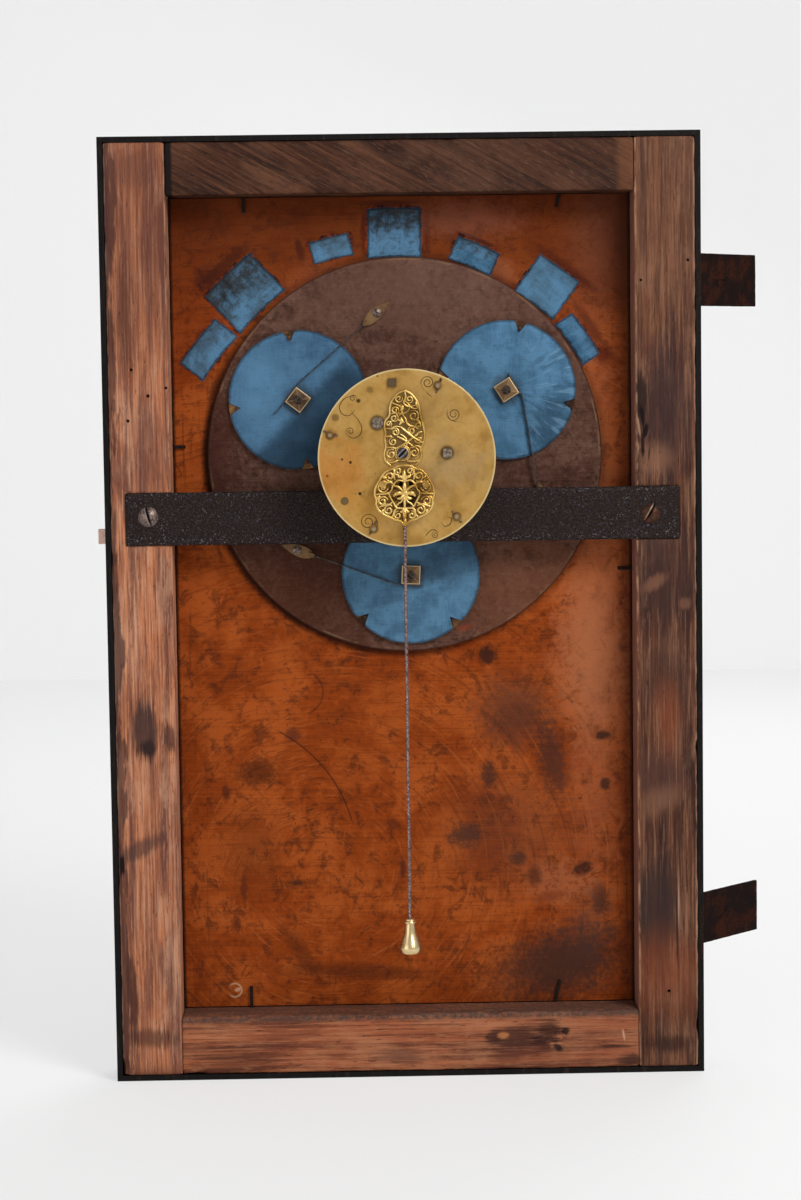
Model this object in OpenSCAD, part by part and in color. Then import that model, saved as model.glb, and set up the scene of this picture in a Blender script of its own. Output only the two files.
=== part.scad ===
// Dial door of a wandering hours night clock, standing open, seen from the back.
// The door frame carries the copper dial plate, the turning carrier with its
// three hour discs, the iron crossbar and the brass movement with its pendulum.
// Millimetres. X runs across the door, Z up, and the back of the door faces -Y.

/* [Door frame] */
// Width of the door over its black edging
door_w = 368; // [356:1:384]
// Height of the door over its black edging
door_h = 585; // [570:1:620]
// Thickness of the wooden frame
wood_t = 28; // [26:0.5:32]
// Thickness of the black edging strips
edging_t = 3.4; // [2.8:0.2:4.2]
// Width of each stile
stile_w = 37.5; // [35:0.5:39]
// Height of the top rail
top_rail_h = 32.5; // [30:0.5:38]
// Height of the bottom rail
bottom_rail_h = 36.5; // [32:0.5:42]
// Length of the tenons on the rails
tenon_l = 22; // [16:1:26]
// Thickness of the tenons
tenon_t = 8; // [6:0.5:10]
// Thickness of the moulding on the front
moulding_t = 6; // [4:0.5:9]
// How far the moulding laps over the dial plate
moulding_lap = 6; // [4:0.5:9]

/* [Dial plate] */
// Thickness of the copper dial plate
plate_t = 1.2; // [0.8:0.1:2]
// Inner radius of the arch that shows the hours
arch_r0 = 90; // [84:1:94]
// Outer radius of the arch that shows the hours
arch_r1 = 116; // [112:1:118]
// Thickness of the blue cloth
cloth_t = 0.4; // [0.3:0.1:0.6]
// Least gap between the cloth patches and the frame
cloth_edge = 3; // [1:0.5:5]
// Length of the cut nails that hold the plate
nail_l = 24; // [20:1:28]

/* [Carrier and hour discs] */
// Place of the centre of the carrier, across the door
centre_x = 1.6; // [-3:0.2:5]
// Depth of the centre of the carrier below the top of the door
centre_drop = 196.4; // [191:0.2:201]
// Radius of the carrier disc
carrier_r = 122.7; // [120.5:0.1:125]
// Thickness of the carrier disc
carrier_t = 1.4; // [1:0.1:2]
// Gap between the carrier and the cloth on the dial plate
carrier_gap = 2.6; // [2:0.1:4]
// Distance of each hour disc from the centre
orbit_r = 74.7; // [73:0.1:76]
// Radius of each hour disc
disc_r = 43.2; // [41:0.1:44]
// Thickness of each hour disc
disc_t = 1; // [0.8:0.1:1.4]
// Distance of the trip pins from the centre of their disc
pin_orbit = 39; // [37:0.2:39.6]
// Radius of the trip pins
pin_r = 1; // [0.7:0.1:1.3]
// Side of the square on each hour disc
square_w = 11.6; // [10:0.1:13]
// Radius of the studs that the hour discs turn on
stud_r = 1.6; // [1.3:0.1:2]
// Thickness of the jumper springs
spring_t = 0.6; // [0.4:0.1:1]
// Width of the jumper springs
spring_w = 1.8; // [1.2:0.1:2.2]

/* [Crossbar] */
// Length of the iron crossbar
bar_l = 341.4; // [336:0.2:346]
// Height of the crossbar
bar_h = 32.6; // [28:0.2:36]
// Thickness of the crossbar
bar_t = 3.2; // [2.6:0.1:4]
// How deep the crossbar is let into the stiles
bar_sink = 2.2; // [1.6:0.1:2.4]
// Depth of the middle of the crossbar below the centre of the carrier
bar_drop = 36.8; // [34.6:0.2:39.6]
// Radius of the shanks of the crossbar screws
bar_screw_r = 2.9; // [2.4:0.1:3.4]
// Radius of the heads of the crossbar screws
bar_head_r = 6.2; // [5.4:0.1:7]

/* [Movement] */
// Radius of the two brass plates
movement_r = 53.6; // [52.8:0.1:56]
// Thickness of the front plate
front_plate_t = 2.5; // [2:0.1:3]
// Thickness of the back plate
back_plate_t = 2.2; // [1.8:0.1:3]
// Length of the pillars between the plates
pillar_h = 30; // [29:0.5:34]
// Radius of the pillars
pillar_r = 3.6; // [3:0.1:4.4]
// Radius of the carrier arbor where it turns in the front plate
arbor_r = 3; // [2.6:0.1:3.4]
// Radius of the wheel arbors
wheel_arbor_r = 1.1; // [0.9:0.05:1.3]
// Radius of the pivots
pivot_r = 0.6; // [0.5:0.05:0.8]
// Radial running clearance of every shaft
run_gap = 0.05; // [0.02:0.01:0.08]
// Side of the winding square
winding_w = 5.2; // [4.4:0.1:6]
// Radius of the spring barrel
barrel_r = 18.6; // [17:0.1:19]
// Radius of the fusee at its wide end
fusee_r = 15; // [13:0.2:16]

/* [Pendulum] */
// Distance from the pendulum pivot to the foot of the bob
pendulum_l = 281; // [270:1:290]
// Radius of the pendulum rod
rod_r = 1.15; // [0.8:0.05:1.4]
// Height of the bob
bob_h = 22; // [18:0.5:26]
// Largest radius of the bob
bob_r = 6.8; // [5:0.1:8]
// Radius of the round cock over the pendulum
cock_r = 18.8; // [17:0.1:19.4]
// Height of the cocks above the back plate
cock_h = 5.6; // [5.2:0.1:7]

/* [Hinges and lock] */
// Angle through which the open door closes
open_angle = 135; // [120:1:165]
// Height of each hinge
hinge_h = 33; // [30:1:38]
// Width of the leaf on the case side
leaf_w = 65; // [58:1:74]
// Distance of its screw from the axis of the hinge
leaf_screw_x = 28; // [24:1:32]
// Thickness of the leaves
leaf_t = 2.4; // [2:0.1:2.8]
// Radius of the knuckles
knuckle_r = 3.2; // [3:0.1:3.6]
// Radius of the hinge pins
hinge_pin_r = 1.6; // [1.4:0.1:1.8]
// Height of the foot of the lower hinge
lower_hinge_z = 72; // [60:1:90]
// Height of the foot of the upper hinge
upper_hinge_z = 479; // [460:1:500]
// Radius of the shanks of the screws into the case
leaf_screw_r = 2.2; // [1.8:0.1:2.6]
// Radius of the heads of those screws
leaf_head_r = 4.7; // [4.2:0.1:5.2]
// Length of those shanks behind the leaf
leaf_screw_l = 18; // [14:1:24]
// How far the lock bolt stands out of the edge
bolt_out = 5.3; // [4:0.1:7]
// Height of the middle of the lock bolt
bolt_z = 341; // [339:0.5:343]

/* [Hidden] */

// Clearance of flat faces between pieces of one body, and of soft pieces
seat = 0.02;
soft = 0.3;

// Depths along Y, from the back of the wood towards the front
front_y = wood_t + moulding_t;
plate_y = wood_t - plate_t;
patch_y = plate_y - soft - cloth_t;
carrier_y = patch_y - carrier_gap - carrier_t;
disc_y = carrier_y - 0.8 - disc_t;
cloth_y = disc_y - soft - cloth_t;
square_t = 2.8;
square_y = cloth_y - 0.1 - square_t;
bar_y = bar_sink - bar_t;
train_y = bar_y - front_plate_t;
back_in_y = train_y - pillar_h;
back_y = back_in_y - back_plate_t;
cock_y = back_y - cock_h;
cock_t = 1.2;
rod_y = back_y - 2.9;

// The wooden frame inside the edging
wood_x = door_w / 2 - edging_t;
wood_z0 = edging_t;
wood_z1 = door_h - edging_t;
open_x = wood_x - stile_w;
open_z0 = wood_z0 + bottom_rail_h;
open_z1 = wood_z1 - top_rail_h;
tenon_y = wood_t * 0.5 - tenon_t / 2;
tenon_in = 6;
centre_z = door_h - centre_drop;
bar_z = centre_z - bar_drop;
bar_x = -0.5;
bar_screw_x = [-157.3, 152.3];
bar_screw_dz = [1.6, -0.4];
bar_screw_l = 22;
finger_at = [0, -orbit_r + pin_orbit + pin_r + 1.9];
finger_r = 1.4;

// Cut nails: end of the point inside the opening, side of the frame, lean
nail_w = 2;
top_nails = [[-96.4, 9.4, 0], [97.5, 8.4, 12]];
bottom_nails = [[-100.3, 13.4, 0], [95.5, 14, -12]];
side_nails = [[-1, centre_z + 6.8, 8], [1, centre_z - 72.9, 9]];

// Cloth patches on the plate: angle, distance, width, height and turn, with
// the numeral that shows through each, or nothing where it is a small mark
patches = [
  [151, 139, 35, 17.5, -10, ""],
  [134, 142, 39, 31, -1, "I"],
  [109, 136, 25, 13.5, -5, ""],
  [92, 138, 33, 30, -2, "II"],
  [70, 131, 28, 15, -4, ""],
  [49, 137, 30, 28, 5, "III"],
  [33, 130, 30.5, 12.5, 1, ""]
];

// Hour discs: place on the carrier, turn at rest and the four hours of each
disc_angles = [152, 32, 272];
disc_turns = [-10, 0, -5];
// How far each jumper spring runs on past the middle of its square
spring_reaches = [14, 6, 6];
hours = [
  ["I", "IIII", "VII", "X"],
  ["II", "V", "VIII", "XI"],
  ["III", "VI", "IX", "XII"]
];
numeral_h = 13;
numeral_orbit = 28;

// Jumper springs: end of the foot, and its direction on the first spring
foot_at = [-25, 80.8];
foot_turn = 41;
foot_l = 22;
foot_t = 1.6;
foot_screw_at = foot_at + polar(foot_l * 0.52, foot_turn);
spring_y0 = square_y + square_t / 2 - spring_w / 2;

// Wheel work, seen from the back and measured from the centre
fusee_at = [24.3, 2.7];
barrel_at = [-17.4, 21.2];
square_end_at = [-8.3, 45.2];
square_end_w = 5;
plug_at = [-37.8, -25.5];
plug_r = 2.35;
small_holes = [[-34, -2.3], [-39, -0.5], [-48, -10.3], [-28.5, -21.2], [-37, -36.4], [-28.6, 34.6]];
cock_screw_at = [-2.6, 2.9];
cock_x = -1.6;
pillar_at = [[19.7, 43.1], [-45.7, 15.3], [-21, -42], [29.6, -35.7]];
// How each taper pin lies across the end of its pillar
pin_angles = [70, -19, 61, -51];
verge_at = [-1.8, -21.4];
cock_feet = [[verge_at.x - 12.9, -15.5], [verge_at.x + 12.9, -15.5]];
potence_feet = [[9.8, -28.5], [-25.8, -21.4]];
screw_places = concat([cock_screw_at], cock_feet, potence_feet);
foot_screw_r = 1;
fixing_r = 1.5;
pillar_end_r = 2;
fusee_arbor_r = 2.2;
barrel_arbor_r = 3;
centre_arbor_r = 1.3;
contrate_at = [-32, -21.4];
bar_fixings = [[-30, -30.5], [14, -30.5], [-12, -45], [12, -45]];
centre_teeth = 72;
third_teeth = 60;
great_teeth = 60;
contrate_teeth = 42;
crown_teeth = 25;
leaves = 6;
crown_leaves = 12;
great_pitch = norm(fusee_at) * great_teeth / (great_teeth + leaves);
great_leaf_pitch = norm(fusee_at) * leaves / (great_teeth + leaves);
centre_pitch = 19.5;
centre_leaf_pitch = centre_pitch * leaves / centre_teeth;
third_pitch = 16.2;
third_leaf_pitch = third_pitch * leaves / third_teeth;
contrate_pitch = 12;
crown_leaf_pitch = contrate_pitch * crown_leaves / contrate_teeth;
third_at = meet(contrate_at, centre_pitch + centre_leaf_pitch, third_pitch + third_leaf_pitch);
crown_r = 9;
crown_mid_y = train_y - 15;
crown_tip_x = verge_at.x - 2.7;
crown_arbor_r = 1;
great_s = 1.5;
third_s = 2;
centre_s = 25;
contrate_s = 8;
barrel_s = 4.2;
barrel_h = 18;

// Hinge axis, and the place where the lower screw enters the case
axis_x = door_w / 2 + 0.3;
axis_y = front_y + knuckle_r + 0.4;
leaf_gap = 0.3;
leaf_turn = open_angle - 90;
mount_u = [leaf_screw_x, leaf_gap + leaf_t];
mount_x = axis_x + mount_u.x * cos(leaf_turn) - mount_u.y * sin(leaf_turn);
mount_y = axis_y + mount_u.x * sin(leaf_turn) + mount_u.y * cos(leaf_turn);
mount_z = lower_hinge_z + hinge_h / 2;
hinge_feet = [lower_hinge_z, upper_hinge_z];
knuckle_h = hinge_h / 3;
leaf_nail_r = 1.1;
leaf_nail_l = 16;
leaf_nail_y = wood_t * 0.45;

// Lock in the free edge, and its bolt
lock_w = 24;
lock_t = 11;
lock_y0 = 8;
lock_z1 = bolt_z + 7.2;
lock_z0 = lock_z1 - 50;
lock_wall = 1.2;
bolt_h = 9.2;
bolt_t = 6;
bolt_l = edging_t + lock_w - lock_wall - 0.7;

// Point where two circles meet: one about the centre, one about the point k
function meet(k, ra, rb) =
  let (d = norm(k), a = (ra * ra - rb * rb + d * d) / (2 * d), h = sqrt(ra * ra - a * a))
  [(k.x * a + k.y * h) / d, (k.y * a - k.x * h) / d];
function polar(r, a) = [r * cos(a), r * sin(a)];
function angle_of(p) = atan2(p.y, p.x);

// Outline of a gear: straight teeth, thinner than the gaps between them
function gear_outline(n, root, tip, half_root, half_tip, turn) = [
  for (i = [0:n - 1])
    for (c = [[root, -half_root], [tip, -half_tip], [tip, half_tip], [root, half_root]])
      polar(c[0], turn + 360 * i / n + c[1])
];

// Places pieces on the part, with the origin at the lower case screw
module place() {
  translate([-mount_x, -mount_y, -mount_z])
    children();
}

// Places pieces about the centre of the carrier and the movement
module centred() {
  place()
    translate([centre_x, 0, centre_z])
      children();
}

// A box from one corner to the other
module box(a, b) {
  translate(a)
    cube(b - a);
}

// A round bar along Y
module rod_y_axis(at, r, y0, y1) {
  translate([at.x, y0, at.y])
    rotate([-90, 0, 0])
      cylinder(r = r, h = y1 - y0, $fn = 48);
}

// A round bar along X
module rod_x_axis(y, z, r, x0, x1) {
  translate([x0, y, z])
    rotate([0, 90, 0])
      cylinder(r = r, h = x1 - x0, $fn = 48);
}

// A flat shape drawn as seen from the back, from y0 to y1
module sheet(y0, y1) {
  translate([0, y1, 0])
    rotate([90, 0, 0])
      linear_extrude(height = y1 - y0)
        children();
}

// A slot across a screw head
module screw_slot(at, y0, r, turn, depth = 1) {
  translate([at.x, y0, at.y])
    rotate([0, turn, 0])
      box([-r - 1, -1, -0.45], [r + 1, depth, 0.45]);
}

// A domed head with a slot, its flat side at y0 and its dome towards -Y
module domed_head(at, y0, r, h, turn) {
  difference() {
    translate([at.x, y0, at.y])
      rotate([90, 0, 0])
        intersection() {
          translate([0, 0, h - (r * r + h * h) / (2 * h)])
            sphere(r = (r * r + h * h) / (2 * h), $fn = 64);
          cylinder(r = r + 1, h = h + 1, $fn = 48);
        }
    screw_slot(at, y0 - h, r, turn);
  }
}

// A flat head with a slot
module flat_head(at, y0, r, h, turn) {
  difference() {
    rod_y_axis(at, r, y0 - h, y0);
    screw_slot(at, y0 - h, r, turn, h * 0.5);
  }
}

// Roman figures, cut with straight strokes
module stroke(x0, x1, h, w) {
  polygon([[x0 - w / 2, 0], [x0 + w / 2, 0], [x1 + w / 2, h], [x1 - w / 2, h]]);
}
function figure_w(c, h) = c == "I" ? 0.3 * h : c == "V" ? 0.72 * h : 0.76 * h;
function figure_sum(s, h, i) = i == 0 ? 0 : figure_w(s[i - 1], h) + figure_sum(s, h, i - 1);
module figure(c, h) {
  if (c == "I") {
    stroke(0, 0, h, 0.15 * h);
  }
  if (c == "V") {
    stroke(0, -0.26 * h, h, 0.15 * h);
    stroke(0, 0.26 * h, h, 0.09 * h);
  }
  if (c == "X") {
    stroke(0.26 * h, -0.26 * h, h, 0.15 * h);
    stroke(-0.26 * h, 0.26 * h, h, 0.09 * h);
  }
}
module numeral(s, h) {
  full = figure_sum(s, h, len(s));
  for (i = [0:len(s) - 1])
    translate([figure_sum(s, h, i) + figure_w(s[i], h) / 2 - full / 2, -h / 2])
      figure(s[i], h);
}

// Hinges

// One leaf on the case side, in its own plane, its foot at z = 0
module case_leaf() {
  difference() {
    union() {
      box([0, leaf_gap, 0], [leaf_w, leaf_gap + leaf_t, hinge_h]);
      cylinder(r = knuckle_r, h = hinge_h, $fn = 48);
    }
    translate([0, 0, knuckle_h - seat])
      cylinder(r = knuckle_r + leaf_gap, h = knuckle_h + 2 * seat, $fn = 48);
    translate([0, 0, -1])
      cylinder(r = hinge_pin_r + seat, h = hinge_h + 2, $fn = 48);
    rod_y_axis([leaf_screw_x, hinge_h / 2], leaf_screw_r + seat, -1, 4 + leaf_t);
    translate([leaf_screw_x, leaf_gap - seat, hinge_h / 2])
      rotate([-90, 0, 0])
        cylinder(r1 = leaf_head_r + 0.1, r2 = leaf_screw_r + seat, h = leaf_t, $fn = 48);
  }
}

module on_case(foot) {
  place()
    translate([axis_x, axis_y, foot])
      rotate([0, 0, leaf_turn])
        children();
}

module case_leaves() {
  color("#4a2a1c")
    for (foot = hinge_feet)
      on_case(foot)
        case_leaf();
}

module case_leaf_screws() {
  color("#5a3018")
    for (i = [0:1])
      on_case(hinge_feet[i])
        difference() {
          union() {
            rod_y_axis([leaf_screw_x, hinge_h / 2], leaf_screw_r, leaf_gap, leaf_gap + leaf_t + leaf_screw_l);
            translate([leaf_screw_x, leaf_gap, hinge_h / 2])
              rotate([-90, 0, 0])
                cylinder(r1 = leaf_head_r, r2 = leaf_screw_r, h = leaf_t, $fn = 48);
          }
          screw_slot([leaf_screw_x, hinge_h / 2], leaf_gap, 5, i == 0 ? -38 : 0, leaf_t * 0.3);
        }
}

module hinge_pins() {
  color("#3c2a22")
    for (foot = hinge_feet)
      place()
        translate([axis_x, axis_y, foot - 0.8])
          cylinder(r = hinge_pin_r, h = hinge_h + 1.6, $fn = 48);
}

module door_leaf() {
  difference() {
    union() {
      box([-leaf_gap - leaf_t, -axis_y, 0], [-leaf_gap, 0, hinge_h]);
      translate([0, 0, knuckle_h + leaf_gap / 2])
        cylinder(r = knuckle_r, h = knuckle_h - leaf_gap, $fn = 48);
    }
    for (z = [-1, 2 * knuckle_h - leaf_gap / 2])
      translate([0, 0, z])
        cylinder(r = knuckle_r + leaf_gap, h = knuckle_h + 1 + leaf_gap / 2, $fn = 48);
    translate([0, 0, -1])
      cylinder(r = hinge_pin_r + run_gap, h = hinge_h + 2, $fn = 48);
    for (z = [0.22, 0.78])
      rod_x_axis(leaf_nail_y - axis_y, hinge_h * z, leaf_nail_r + seat, -leaf_gap - leaf_t - 1, 0);
  }
}

module door_leaves() {
  color("#4a3428")
    for (foot = hinge_feet)
      place()
        translate([axis_x, axis_y, foot])
          door_leaf();
}

// Room in the edging and the moulding for the door leaves
module leaf_room() {
  for (foot = hinge_feet)
    box([door_w / 2 - leaf_t - seat, -1, foot - seat], [door_w / 2 + 1, front_y + 1, foot + hinge_h + seat]);
}

// Holes for the nails of the door leaves
module leaf_nails(gap) {
  for (foot = hinge_feet)
    for (z = [0.22, 0.78])
      rod_x_axis(leaf_nail_y, foot + hinge_h * z, leaf_nail_r + gap,
        door_w / 2 - leaf_nail_l - gap, door_w / 2 - 0.2 + gap);
}

// Door frame

module stile(side) {
  difference() {
    box([side > 0 ? open_x : -wood_x, 0, wood_z0],
      [side > 0 ? wood_x : -open_x, wood_t, wood_z1]);
    rails_room();
    crossbar_room();
    bar_screw_shanks(seat);
    leaf_nails(seat);
    side_nail_shapes(seat);
    lock_room();
  }
}

module rails_room() {
  top_tenons(seat);
  bottom_tenons(seat);
}

module tenons(z0, z1, gap) {
  box([-open_x - tenon_l - gap, tenon_y - gap, z0 - gap],
    [open_x + tenon_l + gap, tenon_y + tenon_t + gap, z1 + gap]);
}
module top_tenons(gap) {
  tenons(open_z1 + tenon_in, wood_z1 - tenon_in, gap);
}
module bottom_tenons(gap) {
  tenons(wood_z0 + tenon_in, open_z0 - tenon_in, gap);
}

module crossbar_room() {
  box([bar_x - bar_l / 2 - seat, -1, bar_z - bar_h / 2 - seat],
    [bar_x + bar_l / 2 + seat, bar_sink + seat, bar_z + bar_h / 2 + seat]);
}
module lock_room() {
  box([-wood_x - 1, lock_y0 - seat, lock_z0 - seat],
    [-wood_x + lock_w + seat, lock_y0 + lock_t + seat, lock_z1 + seat]);
}

module left_stile() {
  color("#7d4a34")
    place()
      stile(-1);
}
module right_stile() {
  color("#6b4034")
    place()
      stile(1);
}
module top_rail() {
  color("#5d3524")
    place()
      difference() {
        union() {
          box([-open_x + seat, 0, open_z1], [open_x - seat, wood_t, wood_z1]);
          top_tenons(0);
        }
        top_nail_shapes(seat);
      }
}
module bottom_rail() {
  color("#7a4630")
    place()
      difference() {
        union() {
          box([-open_x + seat, 0, wood_z0], [open_x - seat, wood_t, open_z0]);
          bottom_tenons(0);
        }
        bottom_nail_shapes(seat);
      }
}

module ebony_edging() {
  color("#17151a")
    place()
      difference() {
        union() {
          box([-door_w / 2, 0, 0], [-wood_x - seat, wood_t, door_h]);
          box([wood_x + seat, 0, 0], [door_w / 2, wood_t, door_h]);
          box([-wood_x, 0, 0], [wood_x, wood_t, wood_z0 - seat]);
          box([-wood_x, 0, wood_z1 + seat], [wood_x, wood_t, door_h]);
        }
        leaf_room();
        leaf_nails(seat);
        bolt_shape(0.2, 0.2);
      }
}

// Section of the front moulding: across its width, then forward
function moulding_section(w, t) = [
  [0, 0], [w, 0], [w, t * 0.3],
  for (i = [0:6]) [w - 3 - 4 * sin(i * 15), t * 0.3 + t * 0.45 * (1 - cos(i * 15))],
  [w - 9, t * 0.75], [w * 0.45, t * 0.5], [9, t * 0.75],
  [7, t * 0.75], [7, t], [0, t]
];
module moulding_side(length) {
  w = edging_t + stile_w + moulding_lap;
  intersection() {
    rotate([90, 0, 90])
      translate([0, 0, -length / 2])
        linear_extrude(height = length)
          polygon(moulding_section(w, moulding_t));
    linear_extrude(height = moulding_t)
      polygon([
        [-length / 2, 0], [length / 2, 0],
        [length / 2 - w - seat, w + seat], [w + seat - length / 2, w + seat]
      ]);
  }
}
module front_moulding() {
  color("#1a171b")
    place()
      difference() {
        translate([0, wood_t + seat, door_h / 2])
          for (s = [0:3])
            rotate([0, s * 90, 0])
              translate([0, 0, s % 2 == 0 ? -door_h / 2 : -door_w / 2])
                rotate([90, 0, 0])
                  mirror([0, 0, 1])
                    moulding_side((s % 2 == 0 ? door_w : door_h) - 2 * seat);
        leaf_room();
      }
}

// Dial plate and its cloths

module dial_plate() {
  color("#b5562a")
    centred()
      sheet(plate_y, wood_t)
        difference() {
          opening_outline(soft);
          arch_opening(arch_r0, arch_r1, 12, 168);
          for (p = patches)
            rotate(p[0] - 90)
              translate([0, p[1]])
                if (p[5] == "")
                  polygon([[-1.6, 0], [0, -4.5], [1.6, 0], [0, 4.5]]);
                else
                  numeral_back(p[5], 18);
        }
}

// The opening of the frame, seen from the centre of the carrier
module opening_outline(inset) {
  translate([-centre_x - open_x + inset, open_z0 - centre_z + inset])
    square([2 * (open_x - inset), open_z1 - open_z0 - 2 * inset]);
}

// A figure as it shows from the back
module numeral_back(s, h) {
  mirror([1, 0])
    numeral(s, h);
}

module arch_opening(r0, r1, a0, a1) {
  difference() {
    intersection() {
      circle(r = r1, $fn = 180);
      polygon(concat([[0, 0]], [for (k = [0:3]) polar(2 * r1, a0 + (a1 - a0) * k / 3)]));
    }
    circle(r = r0, $fn = 180);
  }
}

module dial_cloths() {
  color("#356fa0")
    centred()
      sheet(patch_y, patch_y + cloth_t)
        intersection() {
          opening_outline(cloth_edge);
          for (p = patches)
            rotate(p[0] - 90)
              translate([0, p[1]])
                rotate(p[4])
                  square([p[2], p[3]], center = true);
        }
}

// Cut nails, each a tapering bar that bears on the back of the plate
module nail_room(length, lean, gap) {
  rotate([0, lean, 0])
    box([-nail_w / 2 - gap, plate_y - 0.1 - nail_w - gap, -gap],
      [nail_w / 2 + gap, plate_y - 0.1 + gap, length + gap]);
}
module top_nail_shapes(gap) {
  for (n = top_nails)
    translate([n[0], 0, open_z1 - n[1]])
      nail_room(nail_l, n[2], gap);
}
module bottom_nail_shapes(gap) {
  for (n = bottom_nails)
    translate([n[0], 0, open_z0 + n[1]])
      mirror([0, 0, 1])
        nail_room(nail_l, n[2], gap);
}
module side_nail_shapes(gap) {
  for (n = side_nails)
    translate([n[0] * (open_x - n[2]), 0, n[1]])
      rotate([0, n[0] * 90, 0])
        nail_room(nail_l, 0, gap);
}
module iron_nails() {
  color("#3a2a24")
    place() {
      top_nail_shapes(0);
      bottom_nail_shapes(0);
      side_nail_shapes(0);
      leaf_nails(0);
    }
}

// Lock in the free edge

module bolt_shape(gap, gap_x) {
  bolt_x = -door_w / 2 - bolt_out;
  bolt_y = lock_y0 + lock_t / 2;
  box([bolt_x - gap_x, bolt_y - bolt_t / 2 - gap, bolt_z - bolt_h / 2 - gap],
    [bolt_x + bolt_l + gap_x, bolt_y + bolt_t / 2 + gap, bolt_z + bolt_h / 2 + gap]);
}
module lock_case() {
  color("#4b4640")
    place()
      difference() {
        box([-wood_x, lock_y0, lock_z0], [-wood_x + lock_w, lock_y0 + lock_t, lock_z1]);
        box([-wood_x + lock_wall, lock_y0 + lock_wall, lock_z0 + lock_wall],
          [-wood_x + lock_w - lock_wall, lock_y0 + lock_t - lock_wall, lock_z1 - lock_wall]);
        bolt_shape(0.1, 0.1);
      }
}
module lock_bolt() {
  color("#c9a79a")
    place()
      bolt_shape(0, 0);
}

// Crossbar

module bar_screw_shanks(gap) {
  for (i = [0:1])
    rod_y_axis([bar_screw_x[i], bar_z + bar_screw_dz[i]], bar_screw_r + gap, bar_y - 0.5, bar_screw_l + gap);
}
module crossbar() {
  color("#2b2523")
    place()
      difference() {
        box([bar_x - bar_l / 2, bar_y, bar_z - bar_h / 2], [bar_x + bar_l / 2, bar_sink, bar_z + bar_h / 2]);
        bar_screw_shanks(seat);
        translate([centre_x, 0, centre_z]) {
          for (p = bar_fixings)
            rod_y_axis(p, fixing_r + seat, bar_y - 1, bar_sink + 1);
          rod_y_axis(finger_at, finger_r + seat, bar_y - 1, bar_sink + 1);
        }
      }
}
module crossbar_screws() {
  color("#5c4436")
    place()
      for (i = [0:1]) {
        rod_y_axis([bar_screw_x[i], bar_z + bar_screw_dz[i]], bar_screw_r, bar_y - 0.1, bar_screw_l);
        domed_head([bar_screw_x[i], bar_z + bar_screw_dz[i]], bar_y - seat, bar_head_r, 3, i == 0 ? 75 : -60);
      }
}

// Fixed finger that trips the pins of the discs, on the dial side of the bar
module trip_finger() {
  color("#4a4038")
    centred() {
      rod_y_axis(finger_at, finger_r, bar_y, square_y + 1);
      rod_y_axis(finger_at, finger_r + 1.6, bar_sink + seat, bar_sink + 1.2);
    }
}

// Movement plates and what is fixed to them

// Places of the bearings in both plates
module bearings(y0, y1) {
  rod_y_axis(barrel_at, barrel_arbor_r, y0, y1);
  rod_y_axis(fusee_at, fusee_arbor_r + run_gap, y0, y1);
  rod_y_axis(third_at, pivot_r + run_gap, y0, y1);
  rod_y_axis(contrate_at, pivot_r + run_gap, y0, y1);
}

module front_plate() {
  color("#c8a24a")
    centred()
      difference() {
        union() {
          rod_y_axis([0, 0], movement_r, train_y, bar_y);
          rod_y_axis(verge_at, 2.2, train_y - 3.6, train_y + 0.5);
        }
        bearings(train_y - 1, bar_y + 1);
        rod_y_axis([0, 0], arbor_r + run_gap, train_y - 1, bar_y + 1);
        rod_y_axis(verge_at, pivot_r + run_gap, train_y - 5, train_y - 0.8);
        for (p = pillar_at)
          rod_y_axis(p, pillar_end_r + seat, train_y - 1, bar_y + 1);
        for (p = bar_fixings)
          rod_y_axis(p, fixing_r + seat, train_y - 1, bar_y + 1);
      }
}

module back_plate() {
  color("#d9b45c")
    centred()
      difference() {
        rod_y_axis([0, 0], movement_r, back_y, back_in_y);
        rod_y_axis(verge_at, 9.4, back_y - 1, back_in_y + 1);
        bearings(back_y - 1, back_in_y + 1);
        rod_y_axis([0, 0], pivot_r * 2 + run_gap, back_y - 1, back_in_y + 1);
        for (p = pillar_at)
          rod_y_axis(p, pillar_end_r + seat, back_y - 1, back_in_y + 1);
        rod_y_axis(plug_at, plug_r + seat, back_y - 1, back_in_y + 1);
        sheet(back_y - 1, back_in_y + 1)
          translate(square_end_at)
            square(square_end_w + 2 * seat, center = true);
        for (p = screw_places)
          rod_y_axis(p, foot_screw_r + seat, back_y - 1, back_in_y + 1);
        for (p = small_holes)
          rod_y_axis(p, 0.6, back_y - 1, back_in_y + 1);
      }
}

// Turned outline of a pillar, from its front end to its back end
function pillar_outline() =
  let (f = -bar_y + seat, a = -train_y, m = -train_y + pillar_h / 2, b = -back_in_y)
  [
    [0, f], [pillar_end_r, f], [pillar_end_r, a], [pillar_r, a],
    [pillar_r, a + 3], [pillar_r - 1.1, a + 4.5], [pillar_r - 1.4, m - 2],
    [pillar_r, m - 1], [pillar_r, m + 1],
    [pillar_r - 1.4, m + 2], [pillar_r - 1.1, b - 4.5], [pillar_r, b - 3],
    [pillar_r, b], [pillar_end_r, b], [pillar_end_r, -back_y + 2.2], [0, -back_y + 2.6]
  ];
module pillars() {
  color("#c39a45")
    centred()
      for (i = [0:3])
        difference() {
          translate([pillar_at[i].x, 0, pillar_at[i].y])
            rotate([90, 0, 0])
              rotate_extrude($fn = 48)
                polygon(pillar_outline());
          taper_pin(i, seat);
        }
}
module taper_pin(i, gap) {
  translate([pillar_at[i].x, back_y - 0.75, pillar_at[i].y])
    rotate([0, 90 - pin_angles[i], 0])
      translate([0, 0, -4.6])
        cylinder(r1 = 0.5 + gap, r2 = 0.75 + gap, h = 9.2, $fn = 32);
}
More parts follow.
